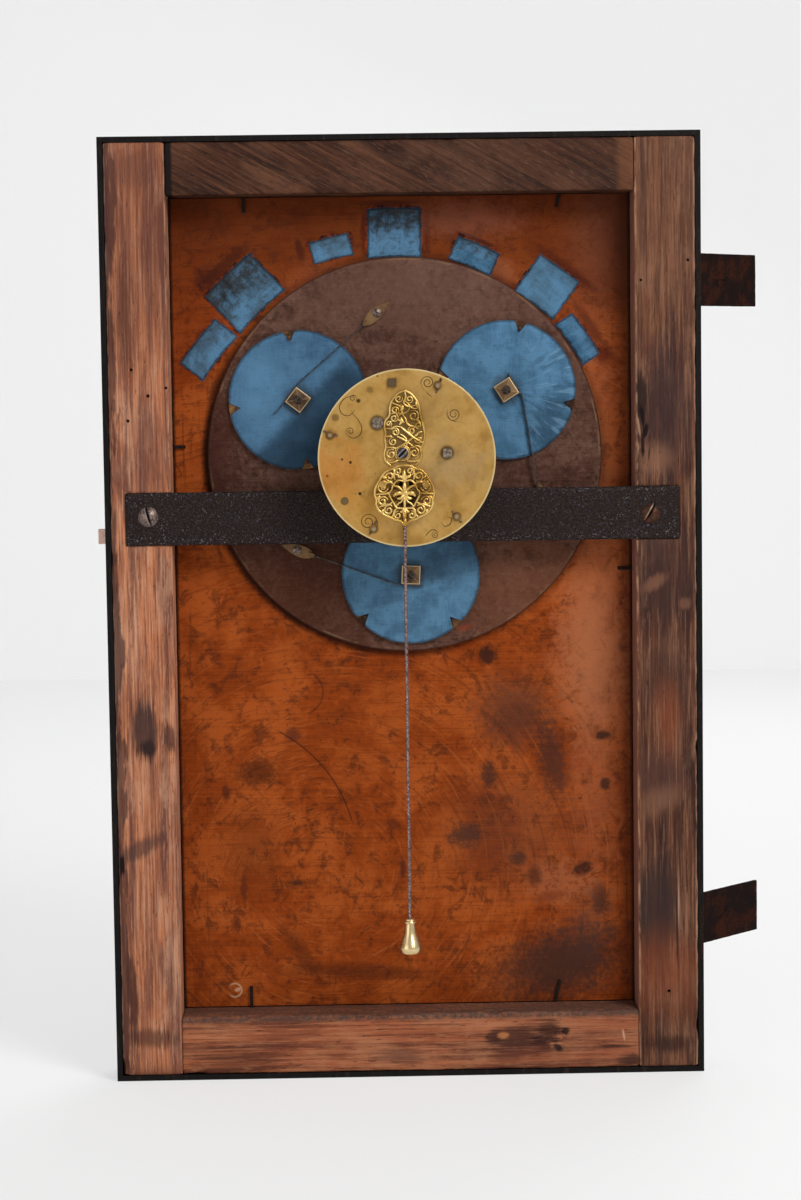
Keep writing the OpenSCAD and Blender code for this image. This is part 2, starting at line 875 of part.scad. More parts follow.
module taper_pins() {
  color("#8d8378")
    centred()
      for (i = [0:3])
        taper_pin(i, 0);
}

// Screws of the movement: into the bar, the cocks and the potences
module movement_screws() {
  color("#35435c")
    centred() {
      for (p = bar_fixings) {
        rod_y_axis(p, fixing_r, train_y - 0.1, bar_sink);
        flat_head(p, train_y - seat, 2.6, 1.3, 20);
      }
      rod_y_axis(cock_screw_at, foot_screw_r, back_y - cock_t - 0.8, back_in_y);
      flat_head(cock_screw_at, back_y - cock_t - seat, 3.4, 1.6, 45);
      for (p = cock_feet) {
        rod_y_axis(p, foot_screw_r, cock_y - cock_t - 0.3, back_in_y);
        flat_head(p, cock_y - cock_t - seat, 1.7, 0.7, 30);
      }
      for (p = potence_feet) {
        rod_y_axis(p, foot_screw_r, back_y - 0.4, back_in_y + 4);
        flat_head(p, back_y - seat, 1.9, 0.9, 80);
      }
      rod_y_axis(plug_at, plug_r, back_y - 0.3, back_in_y);
      sheet(back_y - 1.6, back_in_y)
        translate(square_end_at)
          square(square_end_w, center = true);
    }
}

// Openwork, drawn with rings and bars; the strokes are sw wide
module ring(r, w) {
  difference() {
    circle(r = r, $fn = 64);
    circle(r = r - w, $fn = 64);
  }
}
module upper_cock() {
  color("#d8b357")
    centred()
      difference() {
        sheet(back_y - cock_t, back_y - seat)
          translate([cock_x, 0])
            upper_cock_outline();
        rod_y_axis(cock_screw_at, foot_screw_r + seat, back_y - 5, back_y + 1);
      }
}
// Rows of paired rings, nearly as wide at the foot as in the middle
module upper_cock_outline() {
  sw = 1.4;
  rows = [
    [0, 6.2, 4.6], [7.5, 6.6, 4.9], [15.5, 6.6, 5], [23, 5.4, 4.9], [30, 4.6, 4.7], [36, 2.6, 3.6]
  ];
  translate([cock_screw_at.x - cock_x, cock_screw_at.y])
    circle(r = 5.2, $fn = 48);
  for (row = rows)
    for (s = [-1, 1])
      translate([s * row[1], row[0]])
        ring(row[2], sw);
  for (z = [11.7, 19.4, 26.6])
    translate([0, z])
      ring(3.2, sw);
  translate([0, 38.2])
    ring(2.9, sw);
  translate([-sw / 2, 4])
    square([sw, 33]);
}

module pendulum_cock() {
  color("#d8b357")
    centred()
      difference() {
        union() {
          sheet(cock_y - cock_t, cock_y)
            translate(verge_at)
              pendulum_cock_outline();
          for (p = cock_feet)
            rod_y_axis(p, 2.2, cock_y - 0.5, back_y - seat);
        }
        rod_y_axis(verge_at, pivot_r + run_gap, cock_y - cock_t - 1, cock_y + 1);
        for (p = cock_feet)
          rod_y_axis(p, foot_screw_r + seat, cock_y - cock_t - 1, back_y + 1);
      }
}
module pendulum_cock_outline() {
  sw = 1.5;
  circle(r = 3.4, $fn = 48);
  ring(8.2, sw);
  for (a = [0:45:315])
    rotate(a)
      translate([0, 12.9])
        ring(5.3, sw);
  for (a = [22.5:45:337.5])
    rotate(a)
      translate([0, cock_r - 2.6])
        ring(2.6, 1.1);
  for (a = [0:45:315])
    rotate(a)
      translate([-sw / 2, 3])
        square([sw, 5]);
  for (p = cock_feet)
    translate(p - verge_at)
      circle(r = 2.2, $fn = 32);
}

// Potences: brackets inside the back plate that hold the crown wheel
module potences() {
  y0 = crown_mid_y - 2;
  y1 = crown_mid_y + 2;
  z0 = verge_at.y - 2.2;
  z1 = verge_at.y + 2.2;
  foot_x0 = potence_feet[0].x - 2.3;
  foot_x1 = potence_feet[0].x + 2.2;
  foot_z = potence_feet[0].y - 2;
  color("#b9923f")
    centred()
      difference() {
        union() {
          box([crown_tip_x - 3.2, y0, z0], [foot_x1, y1, z1]);
          box([foot_x0, y0, foot_z], [foot_x1, y1, z1]);
          box([foot_x0, back_in_y + seat, foot_z], [foot_x1, y1, foot_z + 4.2]);
          box([-27, back_in_y + seat, z0], [-24.6, y1, z1]);
        }
        rod_y_axis(verge_at, 1.3, crown_mid_y - 5, crown_mid_y + 5);
        rod_x_axis(crown_mid_y, verge_at.y, pivot_r + run_gap, -30, crown_tip_x + 0.6);
        for (p = potence_feet)
          rod_y_axis(p, foot_screw_r + seat, back_in_y - 1, back_in_y + 4.1);
      }
}

// Spring and fusee

module barrel_arbor() {
  color("#8f8a82")
    centred() {
      rod_y_axis(barrel_at, barrel_arbor_r - seat, back_y - 0.5, bar_y);
      rod_y_axis(barrel_at, barrel_arbor_r + 0.6, back_y - 1.6, back_y - seat);
    }
}
module barrel() {
  color("#c39b48")
    centred()
      translate([barrel_at.x, 0, barrel_at.y])
        rotate([90, 0, 0]) {
          translate([0, 0, -train_y + barrel_s])
            difference() {
              cylinder(r = barrel_r, h = barrel_h - 1.2 - seat, $fn = 96);
              translate([0, 0, 1.2])
                cylinder(r = barrel_r - 1, h = barrel_h, $fn = 96);
              translate([0, 0, -1])
                cylinder(r = barrel_arbor_r + run_gap, h = barrel_h + 2, $fn = 48);
            }
          translate([0, 0, -train_y + barrel_s + barrel_h - 1.2])
            difference() {
              cylinder(r = barrel_r, h = 1.2, $fn = 96);
              translate([0, 0, -1])
                cylinder(r = barrel_arbor_r + run_gap, h = 4, $fn = 48);
            }
        }
}
module mainspring() {
  color("#5b6470")
    centred()
      translate([barrel_at.x, 0, barrel_at.y])
        rotate([90, 0, 0])
          translate([0, 0, -train_y + barrel_s + 1.2 + soft])
            difference() {
              cylinder(r = barrel_r - 1 - soft, h = barrel_h - 2.4 - 2 * soft, $fn = 96);
              translate([0, 0, -1])
                cylinder(r = barrel_arbor_r + soft, h = barrel_h, $fn = 48);
            }
}
// Outline of the fusee: a flange, then eight turns of its groove
function fusee_outline() =
  let (f = -train_y + barrel_s)
  concat(
    [[fusee_arbor_r + seat, f], [fusee_r + 1, f], [fusee_r + 1, f + 1.2]],
    [for (k = [0:7]) each [[fusee_r - 0.8 * k - 0.7, f + 1.9 + k * 2], [fusee_r - 0.8 * k, f + 2.9 + k * 2]]],
    [[fusee_r - 6.5, f + barrel_h], [fusee_arbor_r + seat, f + barrel_h]]
  );
module fusee() {
  color("#caa24e")
    centred()
      translate([fusee_at.x, 0, fusee_at.y])
        rotate([90, 0, 0])
          rotate_extrude($fn = 96)
            polygon(fusee_outline());
}
module fusee_arbor() {
  color("#9a958c")
    centred()
      union() {
        rod_y_axis(fusee_at, fusee_arbor_r, back_y - 1, bar_y - 0.1);
        sheet(back_y - 6.5, back_y - 0.1)
          translate(fusee_at)
            intersection() {
              square(winding_w, center = true);
              circle(r = winding_w * 0.64, $fn = 48);
            }
      }
}
// The line runs straight from the top of the barrel to the top of the fusee
module fusee_line() {
  line_r = 0.55;
  run = fusee_at - barrel_at;
  side = angle_of(run) + acos((barrel_r - fusee_r) / norm(run));
  start = barrel_at + polar(barrel_r + line_r + soft, side);
  end = fusee_at + polar(fusee_r + line_r + soft, side);
  color("#9b8a6a")
    centred()
      translate([start.x, train_y - barrel_s - 5, start.y])
        rotate([0, 90 - angle_of(end - start), 0])
          cylinder(r = line_r, h = norm(end - start), $fn = 16);
}

// Wheels

module spokes(r0, r1, n, w) {
  difference() {
    circle(r = r1, $fn = 96);
    circle(r = r0, $fn = 48);
    for (i = [0:n - 1])
      rotate(i * 360 / n)
        translate([0, -w / 2])
          square([r1 + 1, w]);
  }
}
module wheel2d(n, pitch, turn) {
  m = 2 * pitch / n;
  difference() {
    polygon(gear_outline(n, pitch - 1.1 * m, pitch + 0.55 * m, 80 / n, 34 / n, turn));
    spokes(pitch * 0.26, pitch - 3 * m, 4, pitch * 0.13);
  }
}
module pinion2d(n, pitch, turn) {
  m = 2 * pitch / n;
  polygon(gear_outline(n, pitch - 1.0 * m, pitch + 0.4 * m, 66 / n, 30 / n, turn));
}
module at_level(s0, s1) {
  sheet(train_y - s1, train_y - s0)
    children();
}

// Angle of the line from one wheel centre to another
function toward(a, b) = atan2(b.y - a.y, b.x - a.x);

module great_wheel() {
  color("#c39b48")
    centred()
      at_level(great_s, great_s + 2)
        translate(fusee_at)
          difference() {
            wheel2d(great_teeth, great_pitch, toward(fusee_at, [0, 0]));
            circle(r = fusee_arbor_r + seat, $fn = 48);
          }
}
module carrier_arbor() {
  color("#8b857c")
    centred()
      union() {
        rod_y_axis([0, 0], arbor_r, train_y, carrier_y - seat);
        rod_y_axis([0, 0], centre_arbor_r, back_in_y, train_y + 0.1);
        rod_y_axis([0, 0], pivot_r * 2, back_y + 0.2, back_in_y + 0.1);
        rod_y_axis([0, 0], arbor_r + 5, carrier_y - 2.5, carrier_y - seat);
        rod_y_axis([0, 0], arbor_r - 0.5, carrier_y - 1, carrier_y + carrier_t + 1.2);
        at_level(0.6, great_s + 2.6)
          pinion2d(leaves, great_leaf_pitch, toward([0, 0], fusee_at) + 180 / leaves);
      }
}
module centre_wheel() {
  color("#c39b48")
    centred()
      difference() {
        union() {
          at_level(centre_s, centre_s + 1.5)
            wheel2d(centre_teeth, centre_pitch, toward([0, 0], third_at));
          rod_y_axis([0, 0], 3.4, train_y - centre_s - 3, train_y - centre_s);
        }
        rod_y_axis([0, 0], centre_arbor_r + seat, back_y, train_y);
      }
}
module arbor_with_pivots(at, y0, y1, gap) {
  rod_y_axis(at, wheel_arbor_r, y0 + gap, y1 - gap);
  rod_y_axis(at, pivot_r, y0 - 1.8, y1 + 1.8);
}
module third_wheel() {
  color("#c39b48")
    centred() {
      arbor_with_pivots(third_at, back_in_y, train_y, 0.3);
      at_level(centre_s - 1, centre_s + 2.5)
        translate(third_at)
          pinion2d(leaves, centre_leaf_pitch, toward(third_at, [0, 0]) + 180 / leaves);
      at_level(third_s, third_s + 1.5)
        translate(third_at)
          wheel2d(third_teeth, third_pitch, toward(third_at, contrate_at));
    }
}
module contrate_wheel() {
  tip_s = contrate_tip_s();
  color("#c39b48")
    centred() {
      arbor_with_pivots(contrate_at, back_in_y, train_y, 0.3);
      at_level(third_s - 0.6, third_s + 2.1)
        translate(contrate_at)
          pinion2d(leaves, third_leaf_pitch, toward(contrate_at, third_at) + 180 / leaves);
      at_level(contrate_s, contrate_s + 1.2)
        translate(contrate_at)
          difference() {
            circle(r = contrate_pitch + 0.8, $fn = 96);
            spokes(3, contrate_pitch - 0.8, 4, 1.8);
          }
      at_level(contrate_s + 1.1, tip_s - 1.9)
        translate(contrate_at)
          ring(contrate_pitch + 0.8, 1.6);
      translate([contrate_at.x, train_y, contrate_at.y])
        rotate([90, 0, 0])
          for (i = [0:contrate_teeth - 1])
            rotate([0, 0, 360 * i / contrate_teeth])
              translate([contrate_pitch - 0.7, 0, tip_s - 2])
                rotate([90, 0, 90])
                  linear_extrude(height = 1.4)
                    polygon([[-0.42, 0], [0.42, 0], [0.2, 2], [-0.2, 2]]);
    }
}
function contrate_tip_s() = 15 - crown_leaf_pitch + 0.35;
module crown_wheel() {
  x0 = contrate_at.x + contrate_pitch - 2.2;
  color("#c39b48")
    centred() {
      rod_x_axis(crown_mid_y, verge_at.y, crown_arbor_r, x0 - 0.2, crown_tip_x - 3.6);
      rod_x_axis(crown_mid_y, verge_at.y, pivot_r, -26.6, crown_tip_x - 1.2);
      translate([x0, crown_mid_y, verge_at.y])
        rotate([0, 90, 0])
          linear_extrude(height = 4.4)
            crown_pinion2d();
      translate([crown_tip_x, crown_mid_y, verge_at.y])
        rotate([0, 90, 0]) {
          translate([0, 0, -5.4])
            linear_extrude(height = 1.2)
              difference() {
                circle(r = crown_r, $fn = 96);
                spokes(2.6, crown_r - 1.1, 3, 1.8);
              }
          translate([0, 0, -4.3])
            linear_extrude(height = 2.3)
              ring(crown_r, 1.1);
          for (i = [0:crown_teeth - 1])
            rotate([0, 0, 360 * i / crown_teeth])
              translate([crown_r - 1.05, 0, -2.1])
                rotate([90, 0, 90])
                  linear_extrude(height = 1)
                    polygon([[-0.9, 0], [0.9, 0], [0.9, 0.3], [0.75, 2.1], [0.45, 2.1]]);
        }
    }
}
// The gap between two leaves faces the contrate teeth at rest
module crown_pinion2d() {
  m = 2 * crown_leaf_pitch / crown_leaves;
  polygon(gear_outline(crown_leaves, crown_leaf_pitch - 0.9 * m, crown_leaf_pitch + 0.6 * m,
    70 / crown_leaves, 26 / crown_leaves, 90 + 180 / crown_leaves));
}

// Verge and pendulum

module verge() {
  color("#8f8a82")
    centred() {
      rod_y_axis(verge_at, 0.9, cock_y + 0.25, train_y - 3.9);
      rod_y_axis(verge_at, pivot_r, cock_y - cock_t + 0.2, train_y - 1);
      rod_y_axis(verge_at, 2, rod_y - 1.9, rod_y + 1.9);
      for (s = [-1, 1])
        translate([verge_at.x, crown_mid_y + s * (crown_r - 0.55), verge_at.y])
          rotate([0, s * 50, 0])
            box([-2.9, -0.9, -0.3], [0, 0.9, 0.3]);
    }
}
module on_pendulum() {
  centred()
    translate([verge_at.x, rod_y, verge_at.y])
      children();
}
module pendulum_rod() {
  color("#8a7c84")
    on_pendulum()
      difference() {
        translate([0, 0, -pendulum_l + bob_h - 2])
          cylinder(r = rod_r, h = pendulum_l - bob_h + 2 - 1, $fn = 32);
        rod_y_axis([0, 0], 2 + seat, -3, 3);
      }
}
module pendulum_bob() {
  color("#d8b357")
    on_pendulum()
      translate([0, 0, -pendulum_l])
        difference() {
          rotate_extrude($fn = 64)
            polygon([
              [0, 0], [2.6, 0.1], [bob_r * 0.86, 1.6], [bob_r, 3.8], [bob_r * 0.99, 5.2],
              for (k = [1:8]) [bob_r * (0.4 + 0.58 * pow(cos(k * 11.25), 1.6)), 5.2 + (bob_h - 8.4) * k / 8],
              [bob_r * 0.5, bob_h - 3], [bob_r * 0.52, bob_h - 2.2], [bob_r * 0.4, bob_h - 1.4],
              [bob_r * 0.42, bob_h], [0, bob_h]
            ]);
          translate([0, 0, bob_h - 2 - seat])
            cylinder(r = rod_r + seat, h = 4, $fn = 32);
        }
}

// Carrier and hour discs

module carrier_disc() {
  color("#6a4433")
    centred()
      sheet(carrier_y, carrier_y + carrier_t)
        difference() {
          circle(r = carrier_r, $fn = 180);
          circle(r = arbor_r - 0.5 + seat, $fn = 48);
          for (i = [0:2]) {
            translate(polar(orbit_r, disc_angles[i]))
              circle(r = stud_r + seat, $fn = 48);
            arch_opening(arch_r0, arch_r1, disc_angles[i] - 8.5, disc_angles[i] + 8.5);
            rotate(i * 120)
              translate(foot_screw_at)
                circle(r = foot_screw_r + seat, $fn = 32);
          }
        }
}
module disc_studs() {
  color("#c39b48")
    centred()
      for (i = [0:2]) {
        rod_y_axis(polar(orbit_r, disc_angles[i]), stud_r, square_y - 0.4, carrier_y + carrier_t);
        rod_y_axis(polar(orbit_r, disc_angles[i]), stud_r + 1.2, square_y - 1.3, square_y - 0.2);
        difference() {
          rod_y_axis(polar(orbit_r, disc_angles[i]), 4, disc_y + disc_t + 0.1, carrier_y - seat);
          rod_y_axis(polar(orbit_r, disc_angles[i]), stud_r - 0.1, disc_y, carrier_y + 1);
        }
      }
}

// Everything on an hour disc is drawn about its stud, outward along +X
module on_disc(i) {
  centred()
    rotate([0, -disc_angles[i], 0])
      translate([orbit_r, 0, 0])
        children();
}
module hour_disc(i) {
  color("#8a5a3c")
    on_disc(i)
      sheet(disc_y, disc_y + disc_t)
        difference() {
          circle(r = disc_r, $fn = 128);
          circle(r = stud_r + run_gap, $fn = 48);
          for (k = [0:3]) {
            rotate(k * 90 - 90)
              translate([0, numeral_orbit])
                numeral_back(hours[i][k], numeral_h);
            rotate(disc_turns[i] + 45 + 90 * k)
              translate([pin_orbit, 0])
                circle(r = pin_r + seat, $fn = 32);
          }
        }
}
module hour_cloth(i) {
  color("#2f6ea6")
    on_disc(i)
      sheet(cloth_y, cloth_y + cloth_t)
        difference() {
          circle(r = disc_r - 0.4, $fn = 128);
          circle(r = 4.4, $fn = 48);
          for (k = [0:3])
            rotate(disc_turns[i] + 45 + 90 * k)
              polygon([[pin_orbit - 3, 0], [disc_r + 2, -4], [disc_r + 2, 4]]);
        }
}
module trip_pins(i) {
  color("#b08a45")
    on_disc(i)
      for (k = [0:3])
        rod_y_axis(polar(pin_orbit, disc_turns[i] + 45 + 90 * k), pin_r, square_y, disc_y + disc_t);
}
module hour_square(i) {
  color("#b08a45")
    on_disc(i)
      difference() {
        union() {
          sheet(square_y, square_y + square_t)
            rotate(disc_turns[i])
              square(square_w, center = true);
          rod_y_axis([0, 0], 4, square_y + 0.5, disc_y - seat);
        }
        rod_y_axis([0, 0], stud_r + run_gap, square_y - 1, disc_y + 1);
      }
}

module hour_disc_1() hour_disc(0);
module hour_disc_2() hour_disc(1);
module hour_disc_3() hour_disc(2);
module hour_cloth_1() hour_cloth(0);
module hour_cloth_2() hour_cloth(1);
module hour_cloth_3() hour_cloth(2);
module trip_pins_1() trip_pins(0);
module trip_pins_2() trip_pins(1);
module trip_pins_3() trip_pins(2);
module hour_square_1() hour_square(0);
module hour_square_2() hour_square(1);
module hour_square_3() hour_square(2);

// Jumper springs and their feet on the carrier
// A narrow strip along a list of points
function strip_side(p, w, s) = [
  for (i = [0:len(p) - 1])
    let (a = p[max(i - 1, 0)], b = p[min(i + 1, len(p) - 1)], d = (b - a) / norm(b - a))
    p[i] + s * w / 2 * [-d.y, d.x]
];
function reversed(p) = [for (i = [len(p) - 1:-1:0]) p[i]];
module strip(p, w) {
  polygon(concat(strip_side(p, w, 1), reversed(strip_side(p, w, -1))));
}
function curve(a, b, c, t) = (1 - t) * (1 - t) * a + 2 * t * (1 - t) * b + t * t * c;

// The blade leaves its foot and lies along one side of the square
module jumper_spring(i) {
  face = 152 + disc_turns[i];
  hub = polar(orbit_r, 152);
  flat = hub + polar(square_w / 2 + spring_t / 2 + 0.12, face);
  along = polar(1, face - 90);
  reach = spring_reaches[i];
  knee = flat + 9 * along;
  root = foot_at + polar(2, foot_turn);
  path = concat(
    [root],
    [for (k = [0:8]) curve(foot_at, foot_at + (foot_at - root) * 9, knee, k / 8)],
    [flat, flat - reach * along, flat - (reach + 2) * along + polar(1, face)]
  );
  color("#6e6862")
    centred()
      rotate([0, -i_turn(i), 0])
        sheet(spring_y0, spring_y0 + spring_w)
          strip(path, spring_t);
}
function i_turn(i) = disc_angles[i] - 152;
module jumper_spring_1() jumper_spring(0);
module jumper_spring_2() jumper_spring(1);
module jumper_spring_3() jumper_spring(2);

// Leaf shape of a foot: point at the far end, along +X
module foot_outline() {
  w = 3.3;
  polygon(concat(
    [for (k = [0:8]) [foot_l * k / 8, w * sin(180 * pow(k / 8, 0.8)) + 0.9 * (1 - k / 8)]],
    [for (k = [7:-1:0]) [foot_l * k / 8, -w * sin(180 * pow(k / 8, 0.8)) - 0.9 * (1 - k / 8)]]
  ));
}
module jumper_feet() {
  color("#a9853f")
    centred()
      for (i = [0:2])
        rotate([0, -i_turn(i), 0])
          difference() {
            union() {
              sheet(carrier_y - foot_t, carrier_y - seat)
                translate(foot_at)
                  rotate(foot_turn)
                    foot_outline();
              sheet(spring_y0 - 0.4, carrier_y - 1)
                translate(foot_at)
                  rotate(foot_turn)
                    translate([0, -1.3])
                      square([4, 2.6]);
            }
            sheet(spring_y0 - seat, spring_y0 + spring_w + seat)
              translate(foot_at)
                rotate(foot_turn)
                  translate([-1, -spring_t / 2 - seat])
                    square([3.1, spring_t + 2 * seat]);
            rod_y_axis(foot_screw_at, foot_screw_r + seat, carrier_y - 3, carrier_y + 1);
          }
}
module jumper_screws() {
  color("#6f5a3c")
    centred()
      for (i = [0:2])
        rotate([0, -i_turn(i), 0]) {
          rod_y_axis(foot_screw_at, foot_screw_r, carrier_y - foot_t - 0.2, carrier_y + carrier_t);
          domed_head(foot_screw_at, carrier_y - foot_t - seat, 3, 1.3, 40);
        }
}

case_leaves();
case_leaf_screws();
hinge_pins();
door_leaves();
left_stile();
right_stile();
top_rail();
bottom_rail();
ebony_edging();
front_moulding();
dial_plate();
iron_nails();
dial_cloths();
lock_case();
crossbar();
crossbar_screws();
trip_finger();
front_plate();
pillars();
taper_pins();
back_plate();
movement_screws();
upper_cock();
pendulum_cock();
potences();
barrel_arbor();
fusee_line();
carrier_disc();
carrier_arbor();
centre_wheel();
disc_studs();
jumper_feet();
jumper_screws();
jumper_spring_1();
jumper_spring_2();
jumper_spring_3();
hour_disc_1();
hour_disc_2();
hour_disc_3();
hour_cloth_1();
hour_cloth_2();
hour_cloth_3();
trip_pins_1();
trip_pins_2();
trip_pins_3();
hour_square_1();
hour_square_2();
hour_square_3();
great_wheel();
fusee();
fusee_arbor();
barrel();
mainspring();
third_wheel();
contrate_wheel();
crown_wheel();
verge();
pendulum_rod();
pendulum_bob();
lock_bolt();
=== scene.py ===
# %% [markdown]
# # The dial door of a night clock
# A wandering-hours night clock shows its hours through an arch in a copper dial plate. Here its door
# stands open and is seen from the back. The CAD model brings every part in its place; this lesson gives
# the parts their worn edges, cloth, engraving and finishes. The first cell loads the CAD parts as a frame
# that nothing may move.

# %% Load the frame
import math

import bmesh
import bpy
from mathutils import Matrix, Vector, noise


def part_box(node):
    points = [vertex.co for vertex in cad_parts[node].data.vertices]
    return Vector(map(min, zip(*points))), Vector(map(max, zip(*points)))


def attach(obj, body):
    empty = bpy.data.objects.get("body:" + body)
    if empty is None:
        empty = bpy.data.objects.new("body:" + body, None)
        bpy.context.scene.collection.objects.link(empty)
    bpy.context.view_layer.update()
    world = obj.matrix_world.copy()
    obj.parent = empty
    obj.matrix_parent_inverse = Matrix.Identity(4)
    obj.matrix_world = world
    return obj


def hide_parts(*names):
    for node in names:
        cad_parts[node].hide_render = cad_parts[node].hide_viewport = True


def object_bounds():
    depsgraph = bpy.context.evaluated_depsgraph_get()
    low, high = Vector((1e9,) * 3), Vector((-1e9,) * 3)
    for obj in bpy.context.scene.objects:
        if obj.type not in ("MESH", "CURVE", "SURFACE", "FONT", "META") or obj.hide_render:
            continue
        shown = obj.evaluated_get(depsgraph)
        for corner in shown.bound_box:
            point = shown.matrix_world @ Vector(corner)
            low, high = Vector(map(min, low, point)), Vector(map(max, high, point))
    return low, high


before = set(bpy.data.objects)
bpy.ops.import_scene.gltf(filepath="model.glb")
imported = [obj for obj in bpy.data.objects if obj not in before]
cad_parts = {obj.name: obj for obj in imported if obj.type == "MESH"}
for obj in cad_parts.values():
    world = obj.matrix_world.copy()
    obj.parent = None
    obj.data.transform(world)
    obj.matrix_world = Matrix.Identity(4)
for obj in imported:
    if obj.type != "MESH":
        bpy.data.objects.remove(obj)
cad_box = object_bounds()

# %% [markdown]
# The drawings of the door count in millimetres from the middle of its foot, with the back face of the
# wood at depth 0 and the front behind it. Blender counts in metres from the hinge screw, so one small
# function turns a place on the drawing into a place in the scene. It reads its origin from the CAD parts.

# %% Places on the door
MM = 0.001
edging_low, edging_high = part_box("ebony_edging")
stile_low, stile_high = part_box("left_stile")
DOOR = Vector(((edging_low.x + edging_high.x) / 2, stile_low.y, edging_low.z))
DOOR_W = (edging_high.x - edging_low.x) / MM
DOOR_H = (edging_high.z - edging_low.z) / MM
WOOD_T = (stile_high.y - stile_low.y) / MM
EDGING = 3.4
WOOD_X = DOOR_W / 2 - EDGING
OPEN_X = (DOOR.x - stile_high.x) / MM
RAIL_TOP = EDGING + 36.5
TOP_RAIL_FOOT = DOOR_H - 35.9
BAR_Z = DOOR_H * 0.6034
CENTRE = (1.6, DOOR_H - 196.4)


def at(x, y, z):
    """A place on the drawing of the door, as a place in the scene."""
    return DOOR + Vector((x, y, z)) * MM


def near_centre(u, v, y):
    """A place counted from the centre of the carrier."""
    return at(CENTRE[0] + u, y, CENTRE[1] + v)


def depth(node):
    """How deep a part starts, in the millimetres of the drawing."""
    return (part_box(node)[0].y - DOOR.y) / MM


print("door", round(DOOR_W, 1), "by", round(DOOR_H, 1), "mm, opening half width", round(OPEN_X, 1))

# %% [markdown]
# The camera was fitted to the four corners of the door in the photograph. It stands 1.7 m from the back of
# the door and has a long lens, so things that lie deeper look hardly smaller.

# %% The camera
CAMERA_AT = at(-29.055, -1661.75, 440.1)
TURN_RIGHT, TURN_UP, ROLL = -0.01579, 0.08423, -0.01353

camera_data = bpy.data.cameras.new("camera")
camera_data.sensor_fit = "VERTICAL"
camera_data.sensor_height = 36
camera_data.lens = 81
camera = bpy.data.objects.new("camera", camera_data)
bpy.context.scene.collection.objects.link(camera)
looking = (
    Matrix.Rotation(ROLL, 3, "Z")
    @ Matrix.Rotation(TURN_UP, 3, "X")
    @ Matrix.Rotation(TURN_RIGHT, 3, "Y")
    @ Matrix(((1, 0, 0), (0, 0, -1), (0, 1, 0)))
)
facing = looking.transposed() @ Matrix.Diagonal((1, -1, -1))
camera.matrix_world = Matrix.Translation(CAMERA_AT) @ facing.to_4x4()
bpy.context.scene.camera = camera
bpy.context.scene.view_settings.view_transform = "Standard"
print("camera height", round(CAMERA_AT.z, 3))

# %% [markdown]
# ## Shader maths in plain Python
# A finish on an old object is many faint patterns on top of each other. Written as nodes by hand that is
# hard to read, so a small class wraps a socket, and a sum or product of sockets adds the Math node. A
# second class holds a node tree with one method that adds any node. The same class serves materials and
# Geometry Nodes.

# %% A socket that can be reckoned with
class Socket:
    def __init__(self, graph, out):
        self.graph = graph
        self.out = out

    def _math(self, operation, a, b):
        return self.graph.add("ShaderNodeMath", {"operation": operation}, {0: a, 1: b})

    def __add__(self, other):
        return self._math("ADD", self, other)

    def __radd__(self, other):
        return self._math("ADD", other, self)

    def __sub__(self, other):
        return self._math("SUBTRACT", self, other)

    def __rsub__(self, other):
        return self._math("SUBTRACT", other, self)

    def __mul__(self, other):
        return self._math("MULTIPLY", self, other)

    def __rmul__(self, other):
        return self._math("MULTIPLY", other, self)

    def __truediv__(self, other):
        return self._math("DIVIDE", self, other)

    def __rtruediv__(self, other):
        return self._math("DIVIDE", other, self)

    def __pow__(self, other):
        return self._math("POWER", self, other)

    def low(self, other):
        return self._math("MINIMUM", self, other)

    def high(self, other):
        return self._math("MAXIMUM", self, other)

    def absolute(self):
        return self._math("ABSOLUTE", self, 0.0)


# %% One method that adds any node
class Graph:
    def __init__(self, tree):
        self.tree = tree

    def add(self, kind, settings=None, inputs=None, output=0):
        """Adds a node: first its settings, then the values or links of its sockets."""
        node = self.tree.nodes.new(kind)
        for name, value in (settings or {}).items():
            if name == "stops":
                self.set_stops(node.color_ramp, value)
            else:
                setattr(node, name, value)
        for name, value in (inputs or {}).items():
            if isinstance(value, Socket):
                self.tree.links.new(value.out, node.inputs[name])
            else:
                node.inputs[name].default_value = value
        return Socket(self, node.outputs[output]) if len(node.outputs) else node

    def set_stops(self, ramp, stops):
        while len(ramp.elements) < len(stops):
            ramp.elements.new(0.5)
        for element, (position, colour) in zip(ramp.elements, stops):
            element.position = position
            element.color = colour


def colour(code):
    """A colour as the eye names it, such as 7f5344, in Blender's own linear numbers."""
    parts = [int(code[i : i + 2], 16) / 255 for i in (0, 2, 4)]
    linear = [c / 12.92 if c <= 0.04045 else ((c + 0.055) / 1.055) ** 2.4 for c in parts]
    return (*linear, 1.0)


# %% [markdown]
# A finish is a material with patterns that are measured in millimetres. Every pattern reads Object
# coordinates, so a streak of rust keeps its size and place when the part turns. `spread` picks out where
# a pattern is strong, `spot` marks one place on the door, such as a stain or a scar, and `layer` lays a
# colour on the skin there.

